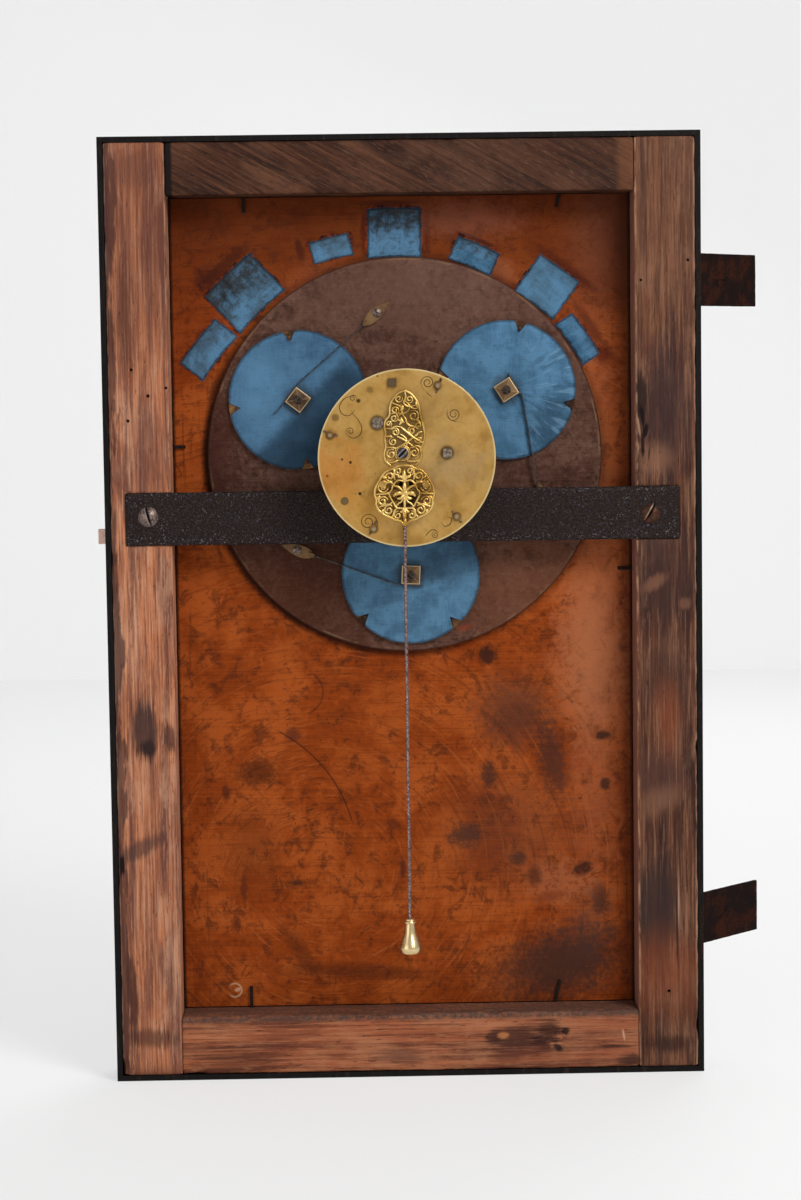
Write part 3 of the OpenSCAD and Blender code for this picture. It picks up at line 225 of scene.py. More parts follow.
# %% Finishes
class Finish(Graph):
    def __init__(self, name, metallic=0.0, roughness=0.5, **constants):
        self.material = bpy.data.materials.new(name)
        self.material.use_nodes = True
        super().__init__(self.material.node_tree)
        self.tree.nodes.clear()
        self.shader = self.tree.nodes.new("ShaderNodeBsdfPrincipled")
        end = self.tree.nodes.new("ShaderNodeOutputMaterial")
        self.tree.links.new(self.shader.outputs[0], end.inputs["Surface"])
        self.place = self.add("ShaderNodeTexCoord", output=3)
        self.axes = {}
        self.set(Metallic=metallic, Roughness=roughness, **constants)

    def set(self, **values):
        for name, value in values.items():
            socket = self.shader.inputs[name.replace("_", " ")]
            if isinstance(value, Socket):
                self.tree.links.new(value.out, socket)
            else:
                socket.default_value = value

    def scaled(self, size, turn=(0, 0, 0), shift=(0, 0, 0)):
        """Object coordinates divided by a size in millimetres along each axis."""
        size = (size, size, size) if isinstance(size, (int, float)) else size
        turned = self.add(
            "ShaderNodeMapping",
            {"vector_type": "TEXTURE"},
            {"Vector": self.place, "Rotation": turn, "Location": shift},
        )
        return self.add(
            "ShaderNodeMapping",
            {},
            {"Vector": turned, "Scale": tuple(1 / (s * MM) for s in size)},
        )

    def noise(self, size, detail=3, rough=0.55, twist=0.0, **place):
        return self.add(
            "ShaderNodeTexNoise",
            {},
            {
                "Vector": self.scaled(size, **place),
                "Scale": 1.0,
                "Detail": detail,
                "Roughness": rough,
                "Distortion": twist,
            },
        )

    def cell_edges(self, size):
        """How far each point is from the border of its cell, which draws cracks."""
        return self.add(
            "ShaderNodeTexVoronoi",
            {"feature": "DISTANCE_TO_EDGE"},
            {"Vector": self.scaled(size), "Scale": 1.0},
        )

    def spread(self, value, start, end):
        """0 below start and 1 above end, with a soft step between."""
        return self.add(
            "ShaderNodeMapRange",
            {"interpolation_type": "SMOOTHSTEP"},
            {0: value, 1: start, 2: end},
        )

    def mix(self, mask, below, above):
        return self.add("ShaderNodeMix", {"data_type": "RGBA"}, {0: mask, 6: below, 7: above}, 2)

    def layer(self, mask, above):
        """Lays one more colour on the skin where the mask is strong."""
        self.skin = self.mix(mask, self.skin, above)

    def axis(self, index):
        """One coordinate in the millimetres of the drawing."""
        if index not in self.axes:
            raw = self.add("ShaderNodeSeparateXYZ", {}, {0: self.place}, index)
            self.axes[index] = (raw - DOOR[index]) * (1 / MM)
        return self.axes[index]

    def spot(self, x, z, width, height, turn, soft, ragged=None):
        """1 inside an oval on the door, fading to 0 at its edge. A pattern can make the edge ragged."""
        c, s = math.cos(math.radians(turn)), math.sin(math.radians(turn))
        dx, dz = self.axis(0) - x, self.axis(2) - z
        u = (dx * c + dz * s) * (2 / width)
        v = (dz * c - dx * s) * (2 / height)
        away = (u * u + v * v) ** 0.5
        if ragged is not None:
            away = away + (ragged - 0.5) * 2.6
        return 1 - self.spread(away, 1 - soft, 1 + soft)

    def arc(self, x, z, radius, width, start, end):
        """1 on an arc round a point of the door, between two angles in degrees."""
        dx, dz = self.axis(0) - x, self.axis(2) - z
        away = ((dx * dx + dz * dz) ** 0.5 - radius).absolute()
        middle, half = math.radians((start + end) / 2), math.radians((end - start) / 2)
        along = dx * math.cos(middle) + dz * math.sin(middle)
        inside = self.spread(along, radius * math.cos(half), radius * math.cos(half) + 3)
        return (1 - self.spread(away, width * 0.3, width)) * inside

    def lines(self, pattern, width):
        """1 where a pattern passes its middle value, which draws thin curved lines."""
        return 1 - self.spread((pattern - 0.5).absolute(), 0, width)

    def bump(self, height, depth_mm):
        inputs = {"Height": height, "Distance": depth_mm * MM, "Strength": 1.0}
        return self.add("ShaderNodeBump", {}, inputs)


print("finish kit ready")

# %% [markdown]
# ## Studio
# The photograph has soft light from the upper right. A large lamp stands there, a weaker one on the left
# opens the shadows, a third lights the side that the camera doesn't see, and the world adds the rest.
# Floor and backdrop look white to the camera and to polished metal, but to the lamps they stay a pale
# surface that takes a shadow.

# %% Floor, backdrop and lamps
def studio_finish(name, shade):
    finish = Finish(name, roughness=0.9)
    ray = finish.tree.nodes.new("ShaderNodeLightPath")
    seen = Socket(finish, ray.outputs["Is Camera Ray"])
    seen = seen.high(Socket(finish, ray.outputs["Is Glossy Ray"]))
    seen = seen.high(Socket(finish, ray.outputs["Is Transmission Ray"]))
    finish.set(Base_Color=(shade, shade, shade, 1), Emission_Color=(1, 1, 1, 1))
    white = finish.add("ShaderNodeEmission", {}, {"Color": (1, 1, 1, 1), "Strength": 1.0})
    mixed = finish.add("ShaderNodeMixShader", {}, {0: seen * 0.55, 2: white})
    finish.tree.links.new(finish.shader.outputs[0], mixed.out.node.inputs[1])
    end = finish.tree.nodes["Material Output"]
    finish.tree.links.new(mixed.out, end.inputs["Surface"])
    return finish.material


def plain_mesh(name, points, faces, material=None, edges=()):
    mesh = bpy.data.meshes.new(name)
    mesh.from_pydata([tuple(p) for p in points], edges, faces)
    mesh.update()
    obj = bpy.data.objects.new(name, mesh)
    bpy.context.scene.collection.objects.link(obj)
    if material:
        mesh.materials.append(material)
    return obj


FLOOR_Z = cad_box[0].z - 0.2 * MM
SIDE, BACK = 5, 2.2  # metres from the hinge to the edges of the floor and to the backdrop
floor_points = [
    (-SIDE, -SIDE, FLOOR_Z),
    (SIDE, -SIDE, FLOOR_Z),
    (SIDE, BACK, FLOOR_Z),
    (-SIDE, BACK, FLOOR_Z),
]
wall_points = [(-SIDE, BACK, FLOOR_Z), (SIDE, BACK, FLOOR_Z), (SIDE, BACK, SIDE), (-SIDE, BACK, SIDE)]
floor = plain_mesh("floor", floor_points, [(0, 1, 2, 3)], studio_finish("studio_floor", 0.8))
wall = plain_mesh("backdrop", wall_points, [(0, 1, 2, 3)], studio_finish("studio_wall", 0.9))

# %% Three lamps
def lamp(name, place, target, size, power):
    data = bpy.data.lights.new(name, "AREA")
    data.shape = "DISK"
    data.size = size
    data.energy = power
    obj = bpy.data.objects.new(name, data)
    obj.location = place
    obj.rotation_euler = (Vector(target) - Vector(place)).to_track_quat("-Z", "Y").to_euler()
    bpy.context.scene.collection.objects.link(obj)


MIDDLE = at(0, 0, DOOR_H / 2)
lamp("key_lamp", MIDDLE + Vector((1.1, -1.5, 1.3)), MIDDLE, 0.9, 34)
lamp("fill_lamp", MIDDLE + Vector((-1.6, -1.6, 0.2)), MIDDLE, 1.6, 9)
lamp("far_lamp", MIDDLE + Vector((0.6, 1.6, 1.2)), MIDDLE, 1.4, 16)
world = bpy.data.worlds.new("studio_air")
world.use_nodes = True
world.node_tree.nodes["Background"].inputs["Color"].default_value = (1, 1, 1, 1)
world.node_tree.nodes["Background"].inputs["Strength"].default_value = 0.42
bpy.context.scene.world = world
print("floor at", round(FLOOR_Z, 4))

# %% [markdown]
# ## Working on copies of the CAD parts
# A CAD part arrives as loose triangles with razor edges, and it may not be changed. `copy_of` merges a
# copy of it. From there a metal part gets a narrow bevel, whose thin highlight tells the eye that it is
# metal, and a wooden or forged part is remeshed into an even skin that can be dented.

# %% Copies, bevels and even skins
def copy_of(*nodes, name):
    work = bmesh.new()
    for node in nodes:
        work.from_mesh(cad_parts[node].data)
    bmesh.ops.remove_doubles(work, verts=work.verts, dist=0.002 * MM)
    bmesh.ops.dissolve_limit(work, angle_limit=0.02, verts=work.verts, edges=work.edges)
    mesh = bpy.data.meshes.new(name)
    work.to_mesh(mesh)
    work.free()
    mesh.materials.clear()
    obj = bpy.data.objects.new(name, mesh)
    bpy.context.scene.collection.objects.link(obj)
    return obj


def bake_down(obj):
    """Turns what the modifiers show into a plain mesh and takes the modifiers off."""
    bpy.context.view_layer.update()
    seen = obj.evaluated_get(bpy.context.evaluated_depsgraph_get())
    mesh = bpy.data.meshes.new_from_object(seen)
    obj.modifiers.clear()
    obj.data = mesh
    return obj


def dressed(obj, finish, body, slot, *nodes, smooth=35):
    """Gives a piece its finish and says where it belongs."""
    obj.data.materials.clear()
    obj.data.materials.append(finish.material)
    obj.data.shade_smooth()
    obj.data.set_sharp_from_angle(angle=math.radians(smooth))
    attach(obj, body)
    if nodes:
        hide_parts(*nodes)
    return obj


CREASE = 32  # degrees between two faces, from which their edge is bevelled


def bevelled(node, finish, body, slot, width, steps=2):
    obj = copy_of(node, name=node + "_eased")
    bevel = obj.modifiers.new("edge", "BEVEL")
    bevel.width = width * MM
    bevel.segments = steps
    bevel.limit_method = "ANGLE"
    bevel.angle_limit = math.radians(CREASE)
    bevel.use_clamp_overlap = True
    bake_down(obj)
    return dressed(obj, finish, body, slot, node, smooth=19)


def even_skin(obj, voxel):
    remesh = obj.modifiers.new("skin", "REMESH")
    remesh.mode = "VOXEL"
    remesh.voxel_size = voxel * MM
    remesh.use_smooth_shade = True
    return bake_down(obj)


def dent(obj, push):
    """Moves each point along its normal by push(place in mm on the drawing, normal), given in mm."""
    mesh = obj.data
    for vertex, normal in zip(mesh.vertices, [n.vector.copy() for n in mesh.vertex_normals]):
        place = (vertex.co - DOOR) / MM
        vertex.co = vertex.co + normal * (push(place, normal) * MM)
    mesh.update()
    return obj


print("tools for shaping ready")

# %% [markdown]
# Geometry Nodes do what repeats or follows a path: worm holes, frayed threads, the strokes of the
# scrollwork and the twisted rod. Each tree is built by the same `add` method. A tree is run once on its
# piece and then turned into a plain mesh, so nothing is left that must be recomputed.

# %% Geometry Nodes trees that run once
class Growth(Graph):
    def __init__(self, name, **inputs):
        super().__init__(bpy.data.node_groups.new(name, "GeometryNodeTree"))
        face = self.tree.interface
        face.new_socket("Geometry", in_out="INPUT", socket_type="NodeSocketGeometry")
        face.new_socket("Geometry", in_out="OUTPUT", socket_type="NodeSocketGeometry")
        self.keys = {}
        for label, kind in inputs.items():
            item = face.new_socket(label, in_out="INPUT", socket_type="NodeSocket" + kind)
            self.keys[label] = item.identifier
        self.entry = self.tree.nodes.new("NodeGroupInput")
        self.exit = self.tree.nodes.new("NodeGroupOutput")

    def given(self, label):
        return Socket(self, self.entry.outputs[label])

    def end(self, geometry):
        whole = self.add("GeometryNodeRealizeInstances", {}, {"Geometry": geometry})
        last = self.add(
            "GeometryNodeSetMaterial", {}, {"Geometry": whole, "Material": self.given("Finish")}
        )
        self.tree.links.new(last.out, self.exit.inputs["Geometry"])

    def run(self, obj, **values):
        modifier = obj.modifiers.new("growth", "NODES")
        modifier.node_group = self.tree
        for label, value in values.items():
            modifier[self.keys[label]] = value
        return bake_down(obj)


# %% [markdown]
# ## The walnut frame
# Two stiles stand and two rails lie between them. The left stile is pale and fibrous with purple-brown
# streaks, the right one is darker, the top rail is nearly black-brown and the bottom rail is orange. One
# function makes walnut from a stretched noise: long fibres, short dark pores, broad figure and pale
# scratches. Each board then gets its own colours and marks.

# %% Walnut
ALONG_Z = (False, False, True)
ALONG_X = (True, False, False)


class Walnut(Finish):
    def __init__(self, name, ground, dark, pale, along, seed, streaky=1.0, turn=(0, 0, 0)):
        super().__init__(name, roughness=0.6, Specular_IOR_Level=0.12)
        here = {"shift": (seed * 0.31, seed * 0.17, seed * 0.23), "turn": turn}

        def grain(width, reach):
            return tuple(reach if a else width for a in along)

        self.fibre = self.noise(grain(1.5, 46), detail=6, rough=0.74, **here)
        self.hair = self.noise(grain(0.9, 13), detail=3, rough=0.6, **here)
        self.figure = self.noise(grain(7.0, 150), detail=4, twist=0.9, **here)
        self.cloud = self.noise(grain(22, 46), detail=5, rough=0.62, **here)
        self.pores = self.spread(self.noise(grain(0.9, 6), detail=2, **here), 0.65, 0.74)
        self.skin = self.mix(self.spread(self.figure, 0.36, 0.6), dark, ground)
        self.layer(self.spread(self.cloud, 0.46, 0.66) * 0.45, pale)
        self.layer((1 - self.spread(self.cloud, 0.34, 0.46)) * 0.4, dark)
        self.layer(self.spread(self.fibre, 0.52, 0.63) * 0.55 * streaky, pale)
        self.layer((1 - self.spread(self.fibre, 0.37, 0.49)) * 0.8 * streaky, dark)
        self.layer(self.spread(self.hair, 0.56, 0.68) * 0.3, pale)
        self.layer(self.pores * 0.6, colour("20110b"))

    def blot(self, code, x, z, width, height, amount, turn, soft):
        """A stain whose edge runs out along the fibres."""
        ragged = self.fibre * 0.8 + self.cloud * 0.4 + self.hair * 0.3 - 0.25
        self.layer(self.spot(x, z, width, height, turn, soft, ragged) * amount, colour(code))

    def close(self):
        height = self.fibre * 0.7 - self.pores * 1.2 + self.figure * 0.4 + self.hair * 0.4
        rough = 0.7 - self.spread(self.cloud, 0.4, 0.7) * 0.14 + self.pores * 0.1
        self.set(Base_Color=self.skin, Roughness=rough, Normal=self.bump(height, 0.22))
        return self


def worn_rim(finish, inner, sign, width):
    """A pale line along a long edge of a stile, broken up by noise."""
    away = (finish.axis(0) - sign * inner).absolute()
    broken = finish.spread(finish.noise((3, 3, 14), detail=3), 0.38, 0.6)
    return (1 - finish.spread(away, 0.3, width)) * broken


# %% The left stile
left_finish = Walnut("left_walnut", colour("b5714c"), colour("704334"), colour("c9987a"), ALONG_Z, 1)
streaks = left_finish.spread(left_finish.noise((2.8, 2.8, 110), detail=4, twist=0.5), 0.53, 0.63)
left_finish.layer(streaks * 0.5, colour("5c3936"))
left_finish.layer(left_finish.spread(left_finish.axis(2), 400, 500) * 0.45, colour("63392b"))
stained = left_finish.axis(0) + WOOD_X + (left_finish.noise((7, 7, 36), detail=4) - 0.5) * 22
left_finish.layer((1 - left_finish.spread(stained, 3.5, 5.5)) * 0.75, colour("3f2624"))
for spot in (
    ("3a2a28", -162, 220, 15, 34, 0.85, 0, 0.4),
    ("2a1d1c", -160, 210, 9, 9, 0.9, 0, 0.5),
    ("4a2c26", -147, 216, 8, 18, 0.8, 10, 0.4),
    ("43302d", -168, 146, 32, 10, 0.7, 28, 0.5),
    ("120a08", -178, 137, 3, 13, 1.0, 0, 0.3),
    ("4d2e25", -160, 27, 34, 11, 0.7, -4, 0.5),
    ("452822", -173, 52, 6, 50, 0.75, 3, 0.4),
    ("5d3a31", -156, 395, 22, 60, 0.5, 0, 0.6),
    ("5a362c", -150, 520, 14, 70, 0.5, 0, 0.6),
    ("4b2b22", -170, 480, 10, 60, 0.6, 0, 0.6),
    ("5e392e", -163, 565, 40, 22, 0.55, 0, 0.6),
):
    left_finish.blot(*spot)
left_finish.layer(1 - left_finish.spread(left_finish.axis(2), 0, 12), colour("5f3728"))
left_finish.layer(worn_rim(left_finish, WOOD_X, -1, 1.6) * 0.6, colour("c39a80"))
left_finish.layer(worn_rim(left_finish, OPEN_X, -1, 1.2) * 0.6, colour("c08d70"))
left_finish.close()

# %% The right stile
right_finish = Walnut(
    "right_walnut", colour("643c28"), colour("341e18"), colour("86604a"), ALONG_Z, 2, 1.15
)
right_finish.layer(right_finish.spread(right_finish.axis(2), 430, 500) * 0.3, colour("80563f"))
streaks = right_finish.spread(right_finish.noise((2.4, 2.4, 90), detail=5, twist=0.6), 0.52, 0.61)
right_finish.layer(streaks * 0.5, colour("38211a"))
for spot in (
    ("3a2624", 162, 416, 34, 76, 0.75, 0, 0.6),
    ("7c5540", 155, 385, 20, 17, 0.6, 0, 0.6),
    ("3b2521", 160, 314, 42, 62, 0.7, 0, 0.5),
    ("432a23", 160, 250, 36, 40, 0.5, 0, 0.6),
    ("4a2f28", 158, 188, 28, 30, 0.7, 0, 0.5),
    ("7d5742", 157, 172, 24, 14, 0.5, 30, 0.7),
    ("342522", 155, 108, 28, 54, 0.8, 0, 0.5),
    ("7c3f25", 160, 62, 40, 44, 0.5, 0, 0.7),
    ("8d4a2c", 162, 222, 14, 40, 0.4, 0, 0.7),
    ("2c1713", 163, 18, 26, 12, 0.75, 0, 0.5),
    ("2a1a15", 146, 425, 9, 30, 0.9, 0, 0.3),
    ("0f0806", 147.5, 411, 2.6, 11, 0.9, 8, 0.3),
    ("120a07", 149.5, 402, 3.2, 9, 0.95, -14, 0.3),
    ("0f0806", 147.5, 393, 2.4, 13, 0.9, 4, 0.3),
    ("1c110c", 151.5, 388, 1.4, 10, 0.7, -6, 0.4),
    ("a37b62", 145.4, 404, 1.4, 12, 0.7, 8, 0.4),
    ("a37b62", 144.8, 390, 1.6, 9, 0.7, -4, 0.4),
    ("7d5540", 154, 308, 16, 7, 0.6, 32, 0.6),
    ("7d5540", 173, 295, 6, 6, 0.5, 0, 0.6),
    ("2a1b18", 167.5, 96, 1.6, 52, 0.8, 0, 0.4),
    ("b28d78", 168.4, 108, 1.2, 34, 0.6, 0, 0.4),
    ("b89272", 181, 91, 3, 34, 0.8, 0, 0.3),
):
    right_finish.blot(*spot)
# Painted highlight: the inner face of the stile at the opening is painted paler, as where light falls on
# it.
inner_face_highlight = 1 - right_finish.spread(right_finish.axis(0), OPEN_X + 0.2, OPEN_X + 1.0)
right_finish.layer(inner_face_highlight * 0.7, colour("8e5c4d"))
right_finish.layer(worn_rim(right_finish, OPEN_X + 0.8, 1, 1.0) * 0.6, colour("b0866a"))
right_finish.layer(worn_rim(right_finish, WOOD_X, 1, 2.0) * 0.7, colour("a97f66"))
right_finish.close()

# %% The two rails
LEANING = (0, 0.5, 0)
top_finish = Walnut(
    "top_walnut", colour("4a2b1c"), colour("29160f"), colour("6c4732"), ALONG_X, 3, 0.7, turn=LEANING
)
light_pores = top_finish.noise((7, 0.8, 0.8), detail=2, turn=LEANING)
on_right = top_finish.spread(top_finish.axis(0), -60, 60)
top_finish.layer(top_finish.spread(light_pores, 0.60, 0.68) * (0.15 + on_right * 0.2), colour("8a6550"))
top_finish.layer(1 - top_finish.spread(top_finish.axis(0) + OPEN_X, 3.4, 5.2), colour("140d0b"))
top_finish.layer(on_right * 0.3, colour("38241b"))
light_block = top_finish.axis(0) - OPEN_X + (top_finish.hair - 0.5) * 6
block_mask = top_finish.spread(light_block, -12.5, -7.0) * (0.1 + top_finish.fibre * 0.7)
top_finish.layer(block_mask, colour("73492f"))
top_finish.layer(top_finish.spread(top_finish.axis(2), DOOR_H - 6, DOOR_H - 3) * 0.5, colour("2a1812"))
top_finish.close()

bottom_finish = Walnut(
    "bottom_walnut", colour("985638"), colour("5c3022"), colour("b57b57"), ALONG_X, 4, 0.85
)
bottom_finish.layer(bottom_finish.spread(bottom_finish.axis(0), -20, 150) * 0.25, colour("704230"))
rail_top = bottom_finish.spread(bottom_finish.axis(2), 34.5, 37.5)
crumbs = bottom_finish.spread(bottom_finish.noise(2.4, detail=5, rough=0.7), 0.4, 0.6)
bottom_finish.layer(rail_top * (0.45 + 0.5 * crumbs), colour("4b3a33"))
for spot in (
    ("3a221c", 66, 24, 34, 14, 0.8, 12, 0.5),
    ("2c1815", 52, 24, 11, 9, 0.7, 40, 0.4),
    ("a86c40", 58, 25, 7, 4, 0.9, 0, 0.4),
    ("2b1714", 86, 26, 15, 20, 0.8, -50, 0.4),
    ("1b0f0d", 97, 27, 6, 5, 0.9, 0, 0.4),
    ("1b0f0d", 92, 17, 7, 4, 0.9, -30, 0.4),
    ("5a3024", 58, 12, 22, 9, 0.5, 0, 0.5),
    ("4a3029", -8, 14, 30, 10, 0.5, 0, 0.6),
    ("2a1611", 130, 17, 24, 1.8, 0.8, -2, 0.5),
    ("2e1c18", 138, 8, 16, 8, 0.8, 0, 0.5),
    ("52301f", -110, 12, 40, 14, 0.4, 0, 0.6),
    ("c49a80", 133.5, 24, 1.4, 7, 0.7, 10, 0.4),
):
    bottom_finish.blot(*spot)
bottom_finish.close()
print("walnut boards:", 4)

# %% [markdown]
# The boards themselves are old: their edges are rounded and chipped, worms have left round holes, and the
# bottom rail has a gouged knot. Each board is a remeshed copy of its CAD part, pushed in along its long
# edges by noise and at a few named places. The worm holes are real bores, cut by a Geometry Nodes tree
# that sets a cylinder on each listed point.

# %% Worn edges and chips
def board_wear(lines, chips, amount):
    """lines: long edges as (axis, first, second); chips: (x, y, z, reach, how deep)."""

    def push(place, normal):
        inward = 0.0
        for axis, first, second in lines:
            others = [i for i in range(3) if i != axis]
            away = math.hypot(place[others[0]] - first, place[others[1]] - second)
            if away < 4:
                rough = 0.55 + 0.9 * noise.noise(place * 0.09) + 0.5 * noise.noise(place * 0.5)
                inward += amount * max(rough, 0.1) * math.exp(-((away / 1.5) ** 2))
        for x, y, z, reach, deep in chips:
            away = (place - Vector((x, y, z))).length
            if away < reach * 1.5:
                ragged = 1 + 0.35 * noise.noise(place * 0.7)
                inward += deep * max(0.0, 1 - (away / (reach * ragged)) ** 2)
        return -inward + 0.05 * noise.noise(place * 0.35)

    return push


def long_edges(axis, spans):
    """The four long edges of a board whose section spans two ranges."""
    (a0, a1), (b0, b1) = spans
    return [(axis, a, b) for a in (a0, a1) for b in (b0, b1)]


# %% Chips and holes of each board
BOARDS = {
    "left_stile": (
        left_finish,
        long_edges(2, ((-WOOD_X, -OPEN_X), (0, WOOD_T))),
        [
            (-WOOD_X, 0, 8, 7, 1.6),
            (-OPEN_X, 0, 171, 4, 0.7),
            (-WOOD_X, 0, 327, 5, 0.8),
            (-OPEN_X, 0, 402, 3, 0.8),
        ],
    ),
    "right_stile": (
        right_finish,
        long_edges(2, ((OPEN_X, WOOD_X), (0, WOOD_T))),
        [
            (OPEN_X, 0, 376, 5, 1.8),
            (OPEN_X, 0, 386, 6, 2.2),
            (OPEN_X, 0, 398, 4, 1.3),
            (OPEN_X, 0, 416, 5, 1.1),
            (OPEN_X, 0, 429, 4, 0.9),
            (OPEN_X, 0, 262, 4, 0.8),
            (149, 0, 288, 5, 0.9),
            (WOOD_X, 0, 205, 5, 0.8),
            (WOOD_X, 0, 30, 6, 1.0),
        ],
    ),
    "top_rail": (
        top_finish,
        long_edges(0, ((0, WOOD_T), (TOP_RAIL_FOOT, DOOR_H - EDGING))),
        [
            (-60, 0, TOP_RAIL_FOOT, 4, 0.7),
            (30, 0, DOOR_H - EDGING, 5, 0.7),
            (88, 0, TOP_RAIL_FOOT, 4, 0.8),
        ],
    ),
    "bottom_rail": (
        bottom_finish,
        long_edges(0, ((0, WOOD_T), (EDGING, RAIL_TOP))),
        [
            (91, 0, 22, 7.5, 2.2),
            (95, 0, 24, 3.5, 1.2),
            (-98, 0, RAIL_TOP, 7, 1.4),
            (-20, 0, RAIL_TOP, 9, 1.2),
            (52, 0, RAIL_TOP, 8, 1.3),
            (120, 0, RAIL_TOP, 6, 1.0),
            (-135, 0, 4, 8, 1.2),
        ],
    ),
}
SKIN_STEP = 1.2
WEAR = 0.75
HOLE_DEEP = 9
HOLES = {
    "left_stile": [(-165.9, 443.6, 1.0), (-155.9, 427.5, 1.1), (-144.9, 432.3, 0.9), (-168.5, 412.4, 1.0)],
    "right_stile": [(162.1, 51.5, 1.05), (176.0, 506.1, 0.9), (147.1, 494.3, 0.85)],
}

# %% Worm holes as a tree
bores = Growth("worm_holes", Places="Object", Depth="Float", Finish="Material")
places = bores.add("GeometryNodeObjectInfo", {}, {"Object": bores.given("Places")}, 4)
drill = bores.add(
    "GeometryNodeMeshCylinder", {}, {"Vertices": 14, "Radius": 1.0, "Depth": bores.given("Depth")}
)
width = bores.add("GeometryNodeInputNamedAttribute", {"data_type": "FLOAT"}, {"Name": "bore"})
size = bores.add("ShaderNodeCombineXYZ", {}, {0: width, 1: width, 2: 1.0})
drills = bores.add(
    "GeometryNodeInstanceOnPoints",
    {},
    {"Points": places, "Instance": drill, "Rotation": (math.pi / 2, 0, 0), "Scale": size},
)
drills = bores.add("GeometryNodeRealizeInstances", {}, {"Geometry": drills})
bored = bores.add(
    "GeometryNodeMeshBoolean",
    {"operation": "DIFFERENCE", "solver": "EXACT"},
    {"Mesh 1": bores.given("Geometry"), "Mesh 2": drills},
)
bores.end(bored)


def marks_mesh(name, places, attribute, values, edges=()):
    """Points, loose or joined by edges, that carry one number each for a tree to read."""
    obj = plain_mesh(name, places, [], edges=edges)
    field = obj.data.attributes.new(attribute, "FLOAT", "POINT")
    for item, value in zip(field.data, values):
        item.value = value
    return obj


# %% The four boards
for node, (finish, lines, chips) in BOARDS.items():
    board = even_skin(copy_of(node, name=node + "_worn"), SKIN_STEP)
    dent(board, board_wear(lines, chips, WEAR))
    if node in HOLES:
        mouths = [at(x, 1.0, z) for x, z, r in HOLES[node]]
        radii = [r * MM for x, z, r in HOLES[node]]
        points = marks_mesh("hole_places", mouths, "bore", radii)
        bores.run(board, Places=points, Depth=HOLE_DEEP * MM, Finish=finish.material)
        bpy.data.objects.remove(points)
    dressed(board, finish, "door", node.split("_")[0] + "_walnut", node, smooth=50)
    print(node, len(board.data.polygons), "faces")

# %% [markdown]
# Thin strips of ebony cover the four edges of the door, and a moulding of the same wood runs round its
# front. The wood is close-grained, so its finish is nearly black with a soft sheen and fine brown
# scratches.

# %% Ebony
ebony = Finish("ebony", roughness=0.5, Specular_IOR_Level=0.12)
ebony_grain = ebony.noise((0.5, 0.5, 20), detail=4)
ebony.skin = ebony.mix(ebony.spread(ebony_grain, 0.35, 0.7), colour("070606"), colour("16110f"))
scuffs = ebony.spread(ebony.noise((3, 3, 16), detail=5, rough=0.7), 0.56, 0.68)
ebony.layer(scuffs * 0.5, colour("3a2c26"))
ebony.set(
    Base_Color=ebony.skin,
    Roughness=0.42 + ebony_grain * 0.25 + scuffs * 0.2,
    Normal=ebony.bump(ebony_grain + scuffs * 0.6, 0.08),
)
for node in ("ebony_edging", "front_moulding"):
    bevelled(node, ebony, "door", "ebony", width=0.45, steps=2)
print("ebony parts: 2")

# %% [markdown]
# ## The copper dial plate
# The plate closes the opening of the door. Its back is bare copper that has gone brown: nearly black at
# the top, orange where hands have rubbed it, with dark and pinkish patches. Fine scratches run level, in
# loose curves and round the middle of the lower half. Its front is painted, so the finish looks at the
# depth of each point: metal behind, a dark painted ground in front.

# %% Brown copper
PLATE_Y = depth("dial_plate")
CARRIER_R = (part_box("carrier_disc")[1].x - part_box("carrier_disc")[0].x) / 2 / MM


def brown_copper(name, ground, dark, pale, seed, shine=0.4):
    finish = Finish(name, metallic=shine, roughness=0.5, Specular_IOR_Level=0.08)
    here = {"shift": (seed * 0.13, 0, seed * 0.29)}
    finish.brush = finish.noise((30, 1, 0.9), detail=3, **here)
    finish.cloud = finish.noise(40, detail=6, rough=0.62, twist=0.3, **here)
    finish.mottle = finish.noise(10, detail=6, rough=0.72, twist=0.5, **here)
    finish.crumbs = finish.noise(3.2, detail=4, rough=0.7, **here)
    finish.specks = finish.spread(finish.noise(2.0, detail=4, rough=0.6, **here), 0.61, 0.70)
    loops = finish.lines(finish.noise(17, detail=2, twist=1.4, **here), 0.010)
    finish.loops = loops * finish.spread(finish.noise(14, detail=2, **here), 0.50, 0.60)
    finish.skin = finish.mix(finish.spread(finish.cloud, 0.42, 0.60), ground, pale)
    finish.layer(finish.spread(finish.mottle, 0.50, 0.63) * 0.7, dark)
    finish.layer((1 - finish.spread(finish.mottle, 0.36, 0.46)) * 0.5, pale)
    finish.layer(finish.spread(finish.brush, 0.54, 0.68) * 0.3, pale)
    finish.layer((1 - finish.spread(finish.brush, 0.34, 0.46)) * 0.3, dark)
    finish.layer(finish.specks * 0.5, dark)
    return finish


def close_copper(finish, rough=0.46, shine=0.45):
    height = finish.brush * 0.4 + finish.mottle * 0.5 - finish.specks * 0.6 - finish.loops * 0.5
    finish.set(
        Base_Color=finish.skin,
        Roughness=rough + finish.cloud * 0.2 + finish.specks * 0.15,
        Metallic=shine - finish.spread(finish.mottle, 0.45, 0.7) * 0.25,
        Normal=finish.bump(height, 0.05),
    )


def stain(finish, code, x, z, width, height, amount, turn, soft):
    """A stain with a ragged edge at one place of a copper part."""
    ragged = finish.mottle * 0.8 + finish.crumbs * 0.7 - 0.25
    mask = finish.spot(x, z, width, height, turn, min(0.9, soft + 0.15), ragged) * amount * 0.9
    finish.layer(mask, colour(code))


